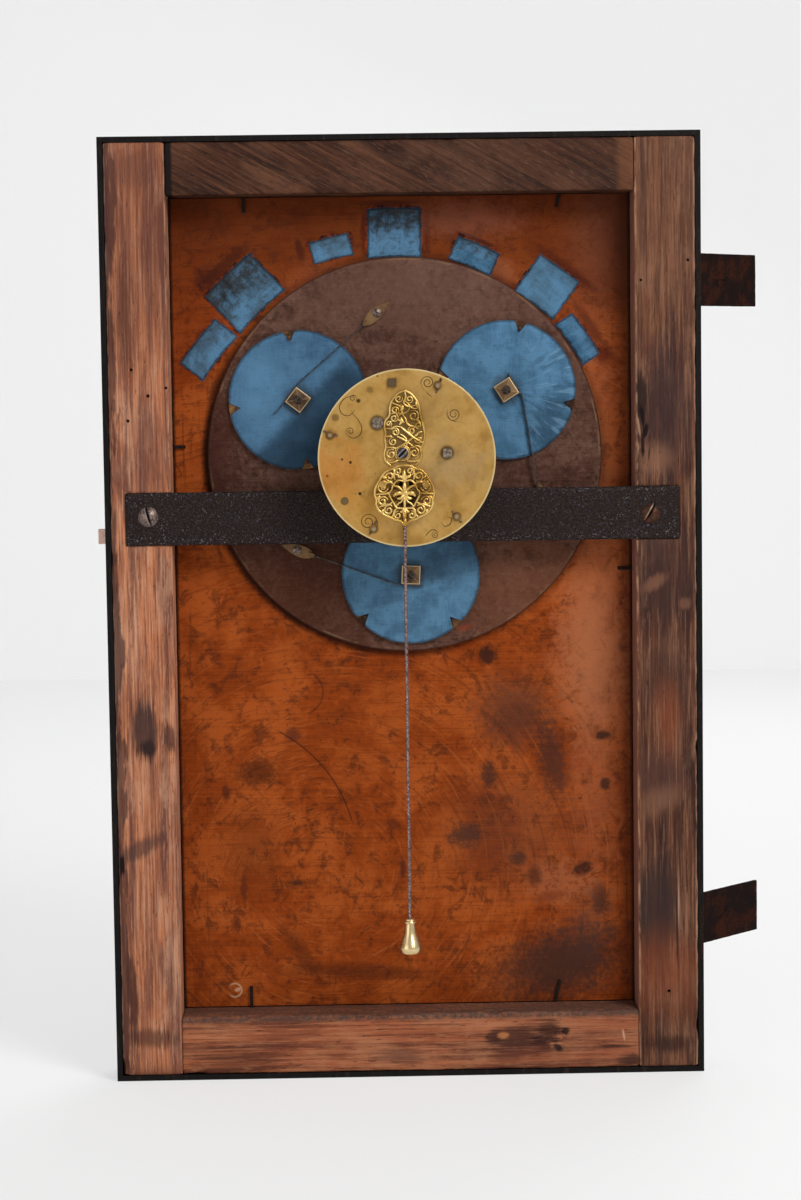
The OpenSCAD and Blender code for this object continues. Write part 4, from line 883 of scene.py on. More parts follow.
def turning_scratches(finish, x, z, width, amount, above):
    """Scratches that run round one place of the plate, broken into short arcs."""
    dx, dz = finish.axis(0) - x, finish.axis(2) - z
    away = (dx * dx + dz * dz) ** 0.5 * (1 / width)
    angle = finish.add("ShaderNodeMath", {"operation": "ARCTAN2"}, {0: dz, 1: dx}) * 2.4
    polar = finish.add("ShaderNodeCombineXYZ", {}, {0: away, 1: angle, 2: 3.0})
    arcs = finish.add("ShaderNodeTexNoise", {}, {"Vector": polar, "Scale": 1.0, "Detail": 3.0})
    finish.layer(finish.spread(arcs, 0.57, 0.68) * amount, above)


# %% The stains of the plate
plate = brown_copper("dial_copper", colour("86390f"), colour("4e210e"), colour("a34f1d"), 1)
turning_scratches(plate, -48, 130, 1.5, 0.32, colour("b0602e"))
turning_scratches(plate, -60, 110, 2.3, 0.35, colour("55230f"))
plate.layer(plate.spread(plate.axis(2), 440, 530) * 0.75, colour("4d200d"))
for spot in (
    ("9c5c3c", 121, 300, 34, 330, 0.6, 0, 0.6),
    ("a96a47", 117, 262, 40, 80, 0.6, 0, 0.6),
    ("5b3222", 128, 520, 40, 80, 0.7, 0, 0.6),
    ("6a2407", -130, 470, 30, 60, 0.5, 0, 0.6),
    ("4c2f24", 68, 226, 44, 42, 0.75, 0, 0.5),
    ("3f261e", 92, 196, 16, 44, 0.85, 8, 0.4),
    ("4a2f25", 66, 150, 70, 66, 0.45, 0, 0.6),
    ("2b1a15", 51.6, 262, 11, 11, 0.95, 0, 0.3),
    ("3c251e", 52, 186, 9, 15, 0.85, 0, 0.4),
    ("2c1b16", 123.6, 210, 11, 6, 0.95, 0, 0.3),
    ("33201a", 125.5, 178.7, 6, 8, 0.9, 0, 0.3),
    ("3f2a22", 37, 148, 18, 14, 0.85, 0, 0.4),
    ("3c2820", 70.5, 132.6, 9, 9, 0.85, 0, 0.4),
    ("33201a", 121.7, 105, 10, 18, 0.85, 0, 0.4),
    ("5a2413", -104, 117, 4, 17, 0.85, 0, 0.4),
    ("3a1d14", -70.5, 119, 10, 4.5, 0.85, 0, 0.4),
    ("3f2019", -3.3, 127, 3.5, 14, 0.8, 0, 0.4),
    ("4f261c", -71.5, 213.4, 8, 8, 0.75, 0, 0.4),
    ("421b0b", -94, 190, 24, 15, 0.8, 0, 0.4),
    ("4a2013", -114, 177, 4.5, 9, 0.85, 0, 0.4),
    ("4a2013", -109, 94, 4.5, 10, 0.8, 0, 0.4),
    ("55260f", -98, 140, 30, 46, 0.45, 0, 0.6),
    ("9c5c3a", 96, 117, 40, 27, 0.6, -8, 0.3),
    ("6e2f17", 90, 108, 18, 6, 0.6, 10, 0.4),
    ("2e211d", 104, 66, 54, 36, 0.75, 10, 0.6),
    ("241612", 110, 125, 12, 7, 0.95, 20, 0.3),
    ("3a1d13", 80, 121, 8, 12, 0.8, 0, 0.4),
    ("3d2720", 90, 64, 74, 40, 0.8, 14, 0.5),
    ("46302a", 114, 88, 26, 36, 0.5, 0, 0.6),
    ("4d210f", -30, 61, 84, 9, 0.7, -3, 0.5),
    ("4d210f", -68, 74, 9, 36, 0.6, 35, 0.5),
    ("3f1a10", -111, 505, 42, 8, 0.85, 43, 0.4),
    ("3a1810", -121, 500, 14, 12, 0.8, 43, 0.5),
    ("45190f", 102.6, 504, 38, 6.0, 0.7, -36, 0.5),
    ("45190f", 112, 495, 22, 6, 0.7, -36, 0.5),
    ("451a10", 119.5, 465, 34, 6.0, 0.7, -56, 0.5),
    ("551c12", 126, 450, 10, 12, 0.8, 0, 0.4),
    ("3f1a11", 48, 521.5, 28, 3.0, 0.95, -24, 0.3),
    ("3f1a11", 36, 521, 8, 10, 0.85, -24, 0.4),
    ("3f1a11", -6, 544.5, 30, 3.4, 0.8, 0, 0.4),
    ("3f1a11", -62, 516, 5, 14, 0.85, 14, 0.4),
    ("45190f", -22, 527, 4, 26, 0.8, 0, 0.4),
    ("45190f", 17, 528, 4, 26, 0.8, 0, 0.4),
    ("8a5644", 40, 534, 60, 20, 0.4, 0, 0.6),
    ("8a4a2c", -52, 495, 40, 26, 0.5, 30, 0.6),
    ("93573a", 62, 502, 26, 12, 0.5, -30, 0.5),
):
    stain(plate, *spot)


# %% Dirt, scratches, painted shadows and paint of the plate
worn = plate.spot(96, 117, 42, 28, -8, 0.3, plate.mottle) * plate.spread(plate.crumbs, 0.46, 0.62)
plate.layer(worn * 0.6, colour("6e2f17"))
dx, dz = plate.axis(0) - CENTRE[0], plate.axis(2) - CENTRE[1]
from_wheel = (dx * dx + dz * dz) ** 0.5
# Painted shadow of the carrier on the plate: a dark ring round its rim, strongest on the lower left side.
shadow_weight = plate.spread(dx * -0.83 + dz * -0.5, 0, 110) * 0.65 + 0.25
carrier_shadow = 1 - plate.spread(from_wheel + (plate.crumbs - 0.5) * 3, CARRIER_R + 1, CARRIER_R + 6)
plate.layer(carrier_shadow * shadow_weight, colour("170b07"))
# Painted shadow: a dark strip along both side edges of the plate, where it meets the stiles.
gap_shadow = plate.spread(plate.axis(0).absolute() + (plate.crumbs - 0.5) * 2, OPEN_X - 2.6, OPEN_X - 0.8)
plate.layer(gap_shadow * 0.85, colour("190c07"))
# Painted shadow of the right stile: the plate darkens towards its right edge.
stile_shadow = plate.spread(plate.axis(0) + (plate.mottle - 0.5) * 5, OPEN_X - 11, OPEN_X - 3)
plate.layer(stile_shadow * 0.55, colour("3a1d12"))
long_scratch = plate.arc(-124, 134.6, 92, 0.7, 12, 64)
plate.layer(long_scratch * 0.75, colour("3a1a10"))
plate.layer(plate.arc(-66, 240, 14, 0.8, -80, 60) * 0.5, colour("3f1c10"))
plate.layer(plate.loops * 0.55, colour("42190c"))
plate.layer(plate.arc(-110.8, 50.6, 4.3, 0.9, -179, 179) * 0.7, colour("c09878"))
plate.layer(plate.spot(-109, 51, 4, 2.5, 20, 0.4) * 0.6, colour("d0ab8c"))
drips = plate.spread(plate.noise((2.5, 2.5, 70), detail=4, twist=0.4), 0.58, 0.70)
near_sides = plate.spread(plate.axis(0).absolute(), 108, 140)
plate.layer(drips * near_sides * 0.6, colour("5a2a16"))
PAINT_FROM = PLATE_Y + 0.5
painted = plate.spread(plate.axis(1), PAINT_FROM, PAINT_FROM + 0.1)
cracks = plate.spread(plate.cell_edges(5), 0.0, 0.04)
paint_ground = plate.mix(plate.spread(plate.cloud, 0.4, 0.7), colour("191513"), colour("2b221c"))
paint_ground = plate.mix(cracks, colour("0b0908"), paint_ground)
plate.layer(painted, paint_ground)
close_copper(plate)
bevelled("dial_plate", plate, "door", "dial_copper", width=0.15, steps=1)
print("plate back at depth", round(PLATE_Y, 2))

# %% [markdown]
# ## Blue cloth
# Seven pieces of blue cloth are glued over the figures in the plate, so that a lamp behind them makes the
# figures glow. Each hour disc carries a round one. The weave is too fine to model, so it is a bump on the
# cloth's own UV map, and the creases and the frayed rim are modelled. Dirt has settled on the upper half
# of the patches.

# %% Cloth finish
GRIME = colour("2b2b2a")
FLUFF = colour("93a4b0")


class Cloth(Finish):
    def __init__(self, name, ground, dark, pale, seed):
        super().__init__(name, roughness=0.9, Sheen_Weight=0.08, Specular_IOR_Level=0.1)
        self.place = self.add("ShaderNodeTexCoord", output=2)
        here = {"shift": (seed * 0.07, seed * 0.05, 0)}
        self.across = self.add("ShaderNodeSeparateXYZ", {}, {0: self.place}, 0) * (1 / MM)
        self.up = self.add("ShaderNodeSeparateXYZ", {}, {0: self.place}, 1) * (1 / MM)
        self.warp = self.noise((0.8, 12, 1), detail=3, **here)
        weft = self.noise((12, 0.8, 1), detail=3, **here)
        self.weave = self.warp.high(weft)
        self.fade = self.noise(15, detail=4, rough=0.6, **here)
        self.grime = self.noise(4.5, detail=5, rough=0.7, **here)
        self.skin = self.mix(self.spread(self.fade, 0.36, 0.62), ground, pale)
        self.layer(self.spread(self.weave, 0.54, 0.68) * 0.28, pale)
        self.layer((1 - self.spread(self.weave, 0.40, 0.52)) * 0.32, dark)
        self.layer(self.spread(self.noise(1.0, detail=2, **here), 0.67, 0.75) * 0.35, FLUFF)

    def spot_uv(self, u, v, width, height, soft):
        """1 inside an oval on the cloth, counted from its middle."""
        du, dv = (self.across - u) * (2 / width), (self.up - v) * (2 / height)
        away = (du * du + dv * dv) ** 0.5 + (self.fade - 0.5) * 1.5
        return 1 - self.spread(away, 1 - soft, 1 + soft)

    def ray_noise(self, count):
        """A pattern that changes round the middle and hardly outwards, like folds in a stretched cloth."""
        angle = self.add("ShaderNodeMath", {"operation": "ARCTAN2"}, {0: self.up, 1: self.across})
        reach = (self.across * self.across + self.up * self.up) ** 0.5
        polar = self.add("ShaderNodeCombineXYZ", {}, {0: angle * count, 1: reach * 0.06, 2: count})
        return self.add("ShaderNodeTexNoise", {}, {"Vector": polar, "Scale": 1.0, "Detail": 2.0})

    def close(self):
        self.set(
            Base_Color=self.skin,
            Roughness=0.85 + self.weave * 0.1,
            Normal=self.bump(self.weave + self.fade * 0.6, 0.14),
        )
        return self


# %% A flat piece of cloth with creases
def give_weave(obj, flat_places):
    """Lays the UV map of the weave: where each point was on the flat cloth, in metres."""
    layer = obj.data.uv_layers.new(name="weave")
    for loop in obj.data.loops:
        layer.data[loop.index].uv = flat_places[loop.vertex_index]


def cloth_grid(name, columns, rows, place, thick, front_y):
    """A closed sheet. place(s, t) gives x, z, lift towards the viewer, u and v, all in millimetres."""
    points, uvs, faces = [], [], []
    for side in (0, 1):
        for j in range(rows + 1):
            for i in range(columns + 1):
                x, z, lift, u, v = place(i / columns, j / rows)
                back = thick if side else 0.0
                points.append(at(x, front_y - lift + back, z))
                uvs.append((u * MM, v * MM))
    wide = columns + 1
    back_start = wide * (rows + 1)
    for j in range(rows):
        for i in range(columns):
            a = j * wide + i
            front = (a, a + 1, a + 1 + wide, a + wide)
            faces.append(front)
            faces.append(tuple(back_start + k for k in reversed(front)))
    rim = list(range(wide))
    rim += [wide * (j + 1) - 1 for j in range(1, rows + 1)]
    rim += [rows * wide + i for i in range(columns - 1, -1, -1)]
    rim += [j * wide for j in range(rows - 1, 0, -1)]
    for k, a in enumerate(rim):
        b = rim[(k + 1) % len(rim)]
        faces.append((b, a, back_start + a, back_start + b))
    obj = plain_mesh(name, points, faces)
    give_weave(obj, uvs)
    return obj


# %% [markdown]
# Frayed threads stand out of every cut edge. A tree sets a thin, four-sided spike on points of the rim
# and leans each one outwards by its own random amount. The seed is an input, so each cloth has its own
# fringe.

# %% Frayed threads as a tree
fray = Growth(
    "frayed_threads",
    Count="Int",
    Longest="Float",
    Thickness="Float",
    Middle="Vector",
    Seed="Int",
    Finish="Material",
)
rim_curve = fray.add("GeometryNodeMeshToCurve", {}, {"Mesh": fray.given("Geometry")})
rim_points = fray.add(
    "GeometryNodeCurveToPoints", {"mode": "COUNT"}, {"Curve": rim_curve, "Count": fray.given("Count")}
)
lean = fray.add(
    "FunctionNodeRandomValue",
    {"data_type": "FLOAT_VECTOR"},
    {0: (-0.9, -0.25, -0.9), 1: (0.9, 0.05, 0.9), 8: fray.given("Seed")},
)
where = fray.add("GeometryNodeInputPosition")
outward = fray.add(
    "ShaderNodeVectorMath", {"operation": "SUBTRACT"}, {0: where, 1: fray.given("Middle")}
)
outward = fray.add("ShaderNodeVectorMath", {"operation": "NORMALIZE"}, {0: outward})
leaning = fray.add("ShaderNodeVectorMath", {"operation": "ADD"}, {0: outward, 1: lean})
turned = fray.add("FunctionNodeAlignRotationToVector", {"axis": "Z"}, {"Vector": leaning})
length = fray.add(
    "FunctionNodeRandomValue",
    {"data_type": "FLOAT"},
    {2: 0.25, 3: 1.0, 8: fray.given("Seed")},
    1,
)
spike = fray.add(
    "GeometryNodeMeshCone",
    {},
    {
        "Vertices": 4,
        "Radius Top": 0.00002,
        "Radius Bottom": fray.given("Thickness"),
        "Depth": fray.given("Longest"),
    },
)
stretch = fray.add("ShaderNodeCombineXYZ", {}, {0: 1.0, 1: 1.0, 2: length})
threads = fray.add(
    "GeometryNodeInstanceOnPoints",
    {},
    {"Points": rim_points, "Instance": spike, "Rotation": turned, "Scale": stretch},
)
fray.end(threads)


THREAD_R = 0.11


def fringe(name, rim, middle, count, seed, finish, longest=1.3):
    """Threads round a closed line of points."""
    edges = [(i, (i + 1) % len(rim)) for i in range(len(rim))]
    return fray.run(
        plain_mesh(name, rim, [], edges=edges),
        Count=count,
        Longest=longest * MM,
        Thickness=THREAD_R * MM,
        Middle=tuple(middle),
        Seed=seed,
        Finish=finish.material,
    )


# %% [markdown]
# The patches are listed by angle and distance from the centre of the carrier, then width, height and
# turn. Their dirt begins at a height of its own, and two show dark strokes where the figures of the plate
# lie under them. Under each one lies a thin run of old hide glue, dark red-brown, and orange where it is
# thin.

# %% Glued patches
PATCHES = [
    (151, 139, 35, 17.5, -10),
    (134, 142, 39, 31, -1),
    (109, 136, 25, 13.5, -5),
    (92, 138, 33, 30, -2),
    (70, 131, 28, 15, -4),
    (49, 137, 30, 28, 5),
    (33, 130, 30.5, 12.5, 1),
]
PATCH_TONES = ["42586a", "41586a", "455d6e", "4c6f8a", "345a74", "46667c", "2f5470"]
PATCH_DIRT = [
    (0, 9, 0.6),
    (-7, 5, 0.9),
    (-2, 9, 0.55),
    (-3, 5, 0.92),
    (-2, 6, 0.75),
    (1, 14, 0.35),
    (0, 9, 0.35),
]
PATCH_T = 0.32
PATCH_STEP = 0.9
THREADS_PER_MM = 2.6
GLUE_POINTS = 72
patch_front = depth("dial_cloths") + 0.1
thread_y = patch_front + 0.15

glue = Finish("hide_glue", roughness=0.55, Specular_IOR_Level=0.08)
glue_cloud = glue.noise(5, detail=4)
glue.skin = glue.mix(glue.spread(glue_cloud, 0.38, 0.6), colour("2c1009"), colour("6a2a12"))
for x, z, reach in (
    (-109, 474, 26),
    (-60, 508, 16),
    (-21, 522, 12),
    (16, 524, 10),
    (-78, 462, 20),
    (104, 474, 18),
):
    glue.layer(glue.spot(x, z, reach, reach, 0, 0.5, glue_cloud) * 0.7, colour("8c3812"))
glue.layer(glue.spread(glue.noise(2, detail=4), 0.55, 0.7) * 0.7, colour("2f110a"))
glue.set(Base_Color=glue.skin, Roughness=0.5 + glue_cloud * 0.2, Normal=glue.bump(glue_cloud, 0.1))

# %% The outline and creases of a patch
def on_patch(patch, u, v):
    """A point of a patch, as a place on the drawing of the door."""
    angle, away, wide, high, turn = patch
    around = math.radians(angle)
    lie = math.radians(angle - 90 + turn)
    x = CENTRE[0] + away * math.cos(around) + u * math.cos(lie) - v * math.sin(lie)
    z = CENTRE[1] + away * math.sin(around) + u * math.sin(lie) + v * math.cos(lie)
    return x, z


def patch_place(index, patch):
    wide, high = patch[2], patch[3]

    def place(s, t):
        u, v = (s - 0.5) * wide, (t - 0.5) * high
        seed = Vector((index * 7.3, 0, 0))
        edge = min(s, 1 - s, t, 1 - t)
        ripple = 0.35 * noise.noise(Vector((u * 0.16, v * 0.3, 0)) + seed)
        loose = 0.3 + noise.noise(Vector((u * 0.2, v * 0.2, 5)) + seed)
        curl = 0.25 * max(0.0, 1 - edge * 14) * max(0.0, loose)
        if edge == 0:
            u += 1.2 * noise.noise(Vector((v * 0.35, 3, index)))
            v += 1.2 * noise.noise(Vector((u * 0.35, 9, index)))
        x, z = on_patch(patch, u, v - (1 - 0.4 * t) * u * u / (2 * patch[1]))
        return x, z, max(-0.05, ripple * 0.5) + curl, u, v

    return place


# %% The dirt of a patch
def patch_finish(index, wide, high):
    tone, (start, end, amount) = PATCH_TONES[index], PATCH_DIRT[index]
    finish = Cloth("patch_cloth_" + str(index + 1), colour(tone), colour("202d38"), colour("517a99"), index)
    level = finish.up + (finish.grime - 0.5) * 22 + (finish.warp - 0.5) * 9
    uneven = 0.55 + finish.spread(finish.grime, 0.36, 0.56) * 0.45
    finish.layer(finish.spread(level, start - 3, end + 4) * uneven * amount, GRIME)
    blots = finish.spread(finish.grime, 0.51, 0.67)
    finish.layer(blots * 0.6 * amount, colour("332c22"))
    if index in (1, 3):
        figures = finish.spread(finish.noise((4.5, 26, 1), detail=2), 0.50, 0.66)
        finish.layer(figures * finish.spread(finish.up, -8, 3) * 0.55, colour("171c20"))
    inside = (wide / 2 - finish.across.absolute()).low(high / 2 - finish.up.absolute())
    edge = 1 - finish.spread(inside + (finish.grime - 0.5) * 5, 0.2, 1.7)
    finish.layer(edge * 0.75, colour("161a1e"))
    return finish.close()


# %% Patches, threads and glue in place
for index, patch in enumerate(PATCHES):
    number = str(index + 1)
    wide, high = patch[2], patch[3]
    finish = patch_finish(index, wide, high)
    grid = (int(wide / PATCH_STEP), int(high / PATCH_STEP))
    cloth = cloth_grid("cloth_patch_" + number, *grid, patch_place(index, patch), PATCH_T, patch_front)
    dressed(cloth, finish, "door", "blue_cloth", "dial_cloths", smooth=80)
    place, steps = patch_place(index, patch), [k / 8 for k in range(8)]
    round_it = [(k, 0) for k in steps] + [(1, k) for k in steps]
    round_it += [(1 - k, 1) for k in steps] + [(0, 1 - k) for k in steps]
    rim = [at(place(s, t)[0], thread_y, place(s, t)[1]) for s, t in round_it]
    x, z = on_patch(patch, 0, 0)
    many = int((wide + high) * THREADS_PER_MM)
    threads = fringe("patch_threads_" + number, rim, at(x, thread_y, z), many, index, finish)
    dressed(threads, finish, "door", "blue_cloth")

    outline = []
    for k in range(GLUE_POINTS):
        around = 2 * math.pi * k / GLUE_POINTS
        c, s = math.cos(around), math.sin(around)
        reach = 1 / max(abs(c) / (wide / 2), abs(s) / (high / 2))
        spill = 1.0 + 2.8 * noise.noise(Vector((c * 2.6, s * 2.6, index * 3.1)))
        reach += max(spill, -1.0)
        outline.append(on_patch(patch, reach * c, reach * s))
    top = [at(x, PLATE_Y - 0.16, z) for x, z in outline]
    foot = [at(x, PLATE_Y - 0.01, z) for x, z in outline]
    count = len(outline)
    sides = [(k, (k + 1) % count, count + (k + 1) % count, count + k) for k in range(count)]
    faces = [tuple(range(count)), tuple(reversed(range(count, 2 * count)))]
    faces += [tuple(reversed(side)) for side in sides]
    run_out = plain_mesh("glue_run_" + number, top + foot, faces)
    dressed(run_out, glue, "door", "dial_copper")
print("patches:", len(PATCHES))

# %% [markdown]
# ## The carrier and its three hour discs
# The carrier is a thin copper disc, dull red-brown with a dark edge. In it the three hour discs turn on
# studs. Each is covered by its cloth nearly to the rim, and has four trip pins and a brass square that a
# blade spring presses on.

# %% Carrier and disc finishes
carrier = brown_copper("carrier_copper", colour("4f3329"), colour("2e1911"), colour("64473b"), 2, 0.25)
grain = carrier.noise(2.4, detail=5, rough=0.7)
carrier.layer(carrier.spread(grain, 0.50, 0.64) * 0.45, colour("3a231a"))
carrier.layer((1 - carrier.spread(grain, 0.36, 0.48)) * 0.35, colour("7a5a4b"))
dx = carrier.axis(0) - CENTRE[0]
dz = carrier.axis(2) - CENTRE[1]
from_middle = (dx * dx + dz * dz) ** 0.5
for spot in (
    ("6b4d42", 10, 490, 150, 60, 0.6, 0, 0.7),
    ("6a4b40", 84, 440, 60, 70, 0.5, 0, 0.7),
    ("38190f", -116, 380, 26, 110, 0.8, 0, 0.6),
    ("4b2615", -70, 300, 110, 70, 0.7, -30, 0.6),
    ("6f432d", 74, 306, 80, 60, 0.6, 30, 0.6),
    ("2c160e", -40, 340, 90, 50, 0.5, 0, 0.7),
    ("84563a", -12, 480, 14, 5, 0.4, 20, 0.5),
    ("7c4a30", -92, 446, 26, 8, 0.4, 50, 0.5),
    ("a3ab90", 30, 283, 5, 2.6, 0.9, 20, 0.3),
    ("83381c", 38, 280, 8, 4, 0.6, 10, 0.5),
):
    stain(carrier, *spot)
rim_line = 1 - carrier.spread((from_middle - (CARRIER_R - 1.5)).absolute(), 0.2, 0.8)
rim_broken = carrier.spread(carrier.noise(16, detail=3), 0.5, 0.62)
carrier.layer(rim_line * rim_broken * 0.4, colour("8a6a4a"))
dark_rim = carrier.spread(from_middle, CARRIER_R - 1.0, CARRIER_R - 0.3)
carrier.layer(dark_rim * 0.7, colour("2a160f"))
close_copper(carrier, 0.52, 0.3)
bevelled("carrier_disc", carrier, "carrier", "carrier_copper", width=0.3, steps=2)

disc_metal = brown_copper("disc_copper", colour("3c281c"), colour("1c100b"), colour("8a6440"), 3)
close_copper(disc_metal, 0.42, 0.6)
for i in (1, 2, 3):
    bevelled("hour_disc_" + str(i), disc_metal, "hour_disc_" + str(i), "disc_copper", width=0.2, steps=1)
print("carrier radius", round(CARRIER_R, 1))

# %% [markdown]
# The round cloths are built as rings of points from the hole at the stud to the rim. At each trip pin a V
# is cut out of the rim, and the cut opens a little. The creases and shades differ: the first disc has
# painted light on its upper left and the painted shadow of the movement below and to the right of its
# spring, the second has fine folds like rays on its right side with painted highlights and painted shade
# along them, and the third has the painted shadow of the crossbar near its middle.

# %% Round cloths
ORBIT = 74.7
DISC_ANGLES = (152, 32, 272)
DISC_TURNS = (-10, 0, -5)
CLOTH_R = 43.1
PIN_AT = 39.0
HOLE_R = 4.6
ROUND_T = 0.3
NOTCH_HALF = 5.4
ROUND_TONES = (
    ("3a5a75", "1d2f40", "4a6f8d"),
    ("3f6480", "22384a", "527b9a"),
    ("3f5f78", "22323f", "507793"),
)
cloth_front = depth("hour_cloth_1")


def disc_middle(i):
    around = math.radians(DISC_ANGLES[i])
    return CENTRE[0] + ORBIT * math.cos(around), CENTRE[1] + ORBIT * math.sin(around)


def notch(angle, i):
    """How far the rim is cut back at an angle in degrees, from 0 to 1."""
    for k in range(4):
        off = (angle - DISC_ANGLES[i] - DISC_TURNS[i] - 45 - 90 * k + 180) % 360 - 180
        if abs(off) < NOTCH_HALF:
            return 1 - abs(off) / NOTCH_HALF
    return 0.0


# %% The mesh of a round cloth
def round_cloth(i):
    x0, z0 = disc_middle(i)
    rings, steps = 40, 300
    points, uvs, faces, rim = [], [], [], []
    for side in (0, 1):
        for j in range(rings + 1):
            for k in range(steps):
                angle = 360 * k / steps
                a = math.radians(angle)
                cut = notch(angle, i)
                outer = CLOTH_R - cut * (CLOTH_R - PIN_AT + 3.2)
                outer += 0.3 * noise.noise(Vector((math.cos(a) * 9, math.sin(a) * 9, i * 5)))
                r = HOLE_R + (outer - HOLE_R) * j / rings
                u, v = r * math.cos(a), r * math.sin(a)
                here = Vector((u, v, i * 40))
                lift = 0.22 * noise.noise(here * 0.07) + 0.10 * noise.noise(here * 0.25)
                rays = math.sin(angle * (0.42 if i == 1 else 0.2) + 3 * noise.noise(here * 0.05))
                side_share = max(0.0, math.cos(a)) if i == 1 else 0.35
                lift += 0.20 * rays * side_share * (r / CLOTH_R) ** 0.5
                lift += 0.30 * cut * (j / rings) ** 6
                lift = max(-0.02, lift + 0.08)
                points.append(at(x0 + u, cloth_front - lift + (ROUND_T if side else 0), z0 + v))
                uvs.append((u * MM, v * MM))
                if side == 0 and j == rings:
                    rim.append(at(x0 + u, cloth_front - lift + ROUND_T / 2, z0 + v))
    back = (rings + 1) * steps
    for j in range(rings):
        for k in range(steps):
            a, b = j * steps + k, j * steps + (k + 1) % steps
            front = (a, b, b + steps, a + steps)
            faces.append(tuple(reversed(front)))
            faces.append(tuple(back + n for n in front))
    for j, flip in ((0, False), (rings, True)):
        for k in range(steps):
            a, b = j * steps + k, j * steps + (k + 1) % steps
            strip = (a, b, back + b, back + a)
            faces.append(tuple(reversed(strip)) if flip else strip)
    obj = plain_mesh("round_cloth_" + str(i + 1), points, faces)
    work = bmesh.new()
    work.from_mesh(obj.data)
    bmesh.ops.recalc_face_normals(work, faces=work.faces)
    work.to_mesh(obj.data)
    work.free()
    give_weave(obj, uvs)
    return obj, rim, at(x0, cloth_front, z0)


# %% The shades of a round cloth
def round_finish(i):
    """The cloth of one hour disc, with its own shades and marks."""
    finish = Cloth("round_cloth_" + str(i + 1), *(colour(tone) for tone in ROUND_TONES[i]), 11 + i)
    across, up = finish.across, finish.up
    reach = (across * across + up * up) ** 0.5
    ragged = (finish.grime - 0.5) * 9
    if i == 0:
        # Painted shadow of the movement, dark below and to the right of the spring.
        below = finish.spread(across * 0.72 - up * 0.69 + ragged, 0, 8)
        near = 1 - finish.spread(up + across * 0.3, 22, 34) * 0.6
        finish.layer(below * near * 0.72, colour("1a2c3b"))
        # Painted light on the upper left of the cloth.
        painted_light = finish.spot_uv(-22, 6, 26, 50, 0.7)
        finish.layer(painted_light * 0.4, colour("5d8bab"))
    if i == 1:
        finish.layer(finish.spot_uv(30, -22, 34, 30, 0.6) * 0.65, colour("22384a"))
        # Painted highlights and painted shade along the folds on the right side of the cloth.
        rays = finish.spread(finish.ray_noise(12), 0.54, 0.66)
        finish.layer(rays * finish.spread(across, 8, 26) * 0.33, colour("7ba2bd"))
        fold_shade = finish.spread(finish.ray_noise(9), 0.56, 0.68)
        finish.layer(fold_shade * finish.spread(across, 4, 18) * 0.4, colour("253c4e"))
    if i == 2:
        # Painted shadow of the crossbar, across the cloth just below the bar.
        finish.layer(finish.spot_uv(26, 8, 60, 26, 0.7) * 0.4, colour("27394a"))
        finish.layer(finish.spot_uv(12, 1, 22, 12, 0.7) * 0.5, colour("1e2d3a"))
    blots = finish.spread(finish.grime, 0.60, 0.70)
    finish.layer(blots * 0.35, colour("253340"))
    finish.layer(finish.spread(reach + ragged * 0.3, CLOTH_R - 1.8, CLOTH_R - 0.4) * 0.6, colour("1b2229"))
    hub = 1 - finish.spread(reach + ragged * 0.6, 7, 12)
    finish.layer(hub * 0.55, colour("2a2d2e"))
    return finish.close()


# %% The three round cloths in place
for i in range(3):
    name = "hour_disc_" + str(i + 1)
    finish = round_finish(i)
    cloth, rim, middle = round_cloth(i)
    dressed(cloth, finish, name, "blue_cloth", "hour_cloth_" + str(i + 1), smooth=80)
    threads = fringe("rim_threads_" + str(i + 1), rim, middle, 330, 50 + i, finish, longest=0.9)
    dressed(threads, finish, name, "blue_cloth")
print("round cloths: 3, radius", CLOTH_R)

# %% [markdown]
# ## Iron
# The crossbar, screws, hinges, nails and springs are iron and steel in different states: forged and
# blackened, rusted, polished or blued. One function makes them all from a dark ground, fine pits, pale
# specks where bare metal shows, and rust where a cloud pattern is strong.

# %% Iron finishes
def iron_finish(name, ground, pale, rust, rust_share, specks, rough, shine, seed):
    finish = Finish(name, metallic=shine, roughness=rough, Specular_IOR_Level=0.12)
    here = {"shift": (seed * 0.19, seed * 0.11, seed * 0.07)}
    cloud = finish.noise(14, detail=4, rough=0.6, **here)
    pits = finish.noise(1.3, detail=4, rough=0.65, **here)
    fine = finish.noise(0.8, detail=2, **here)
    finish.cloud = cloud
    bare = finish.spread(fine, 0.60, 0.70) * finish.spread(cloud, 0.3, 0.6)
    rusty = finish.spread(cloud + (pits - 0.5) * 0.5, 0.72 - 0.4 * rust_share, 0.86 - 0.4 * rust_share)
    finish.skin = finish.mix(finish.spread(pits, 0.35, 0.62), colour(ground), colour(pale))
    finish.layer(rusty * min(1.0, 0.4 + rust_share), colour(rust))
    finish.layer(bare * specks, colour("9a9da4"))
    finish.set(
        Base_Color=finish.skin,
        Roughness=rough + pits * 0.2 + rusty * 0.15 - bare * 0.1,
        Metallic=shine - rusty * 0.5 * shine,
        Normal=finish.bump(pits * 0.8 + fine * 0.3, 0.07),
    )
    return finish


# %% The iron of each part
BARREL_END = (-17.4, 21.2)
WINDING_END = (24.3, 2.7)


def on_plate(finish, u, v, wide, high=None, soft=0.12, ragged=None):
    """1 on one place of the back plate, counted from its centre."""
    return finish.spot(CENTRE[0] + u, CENTRE[1] + v, wide, high or wide, 0, soft, ragged)


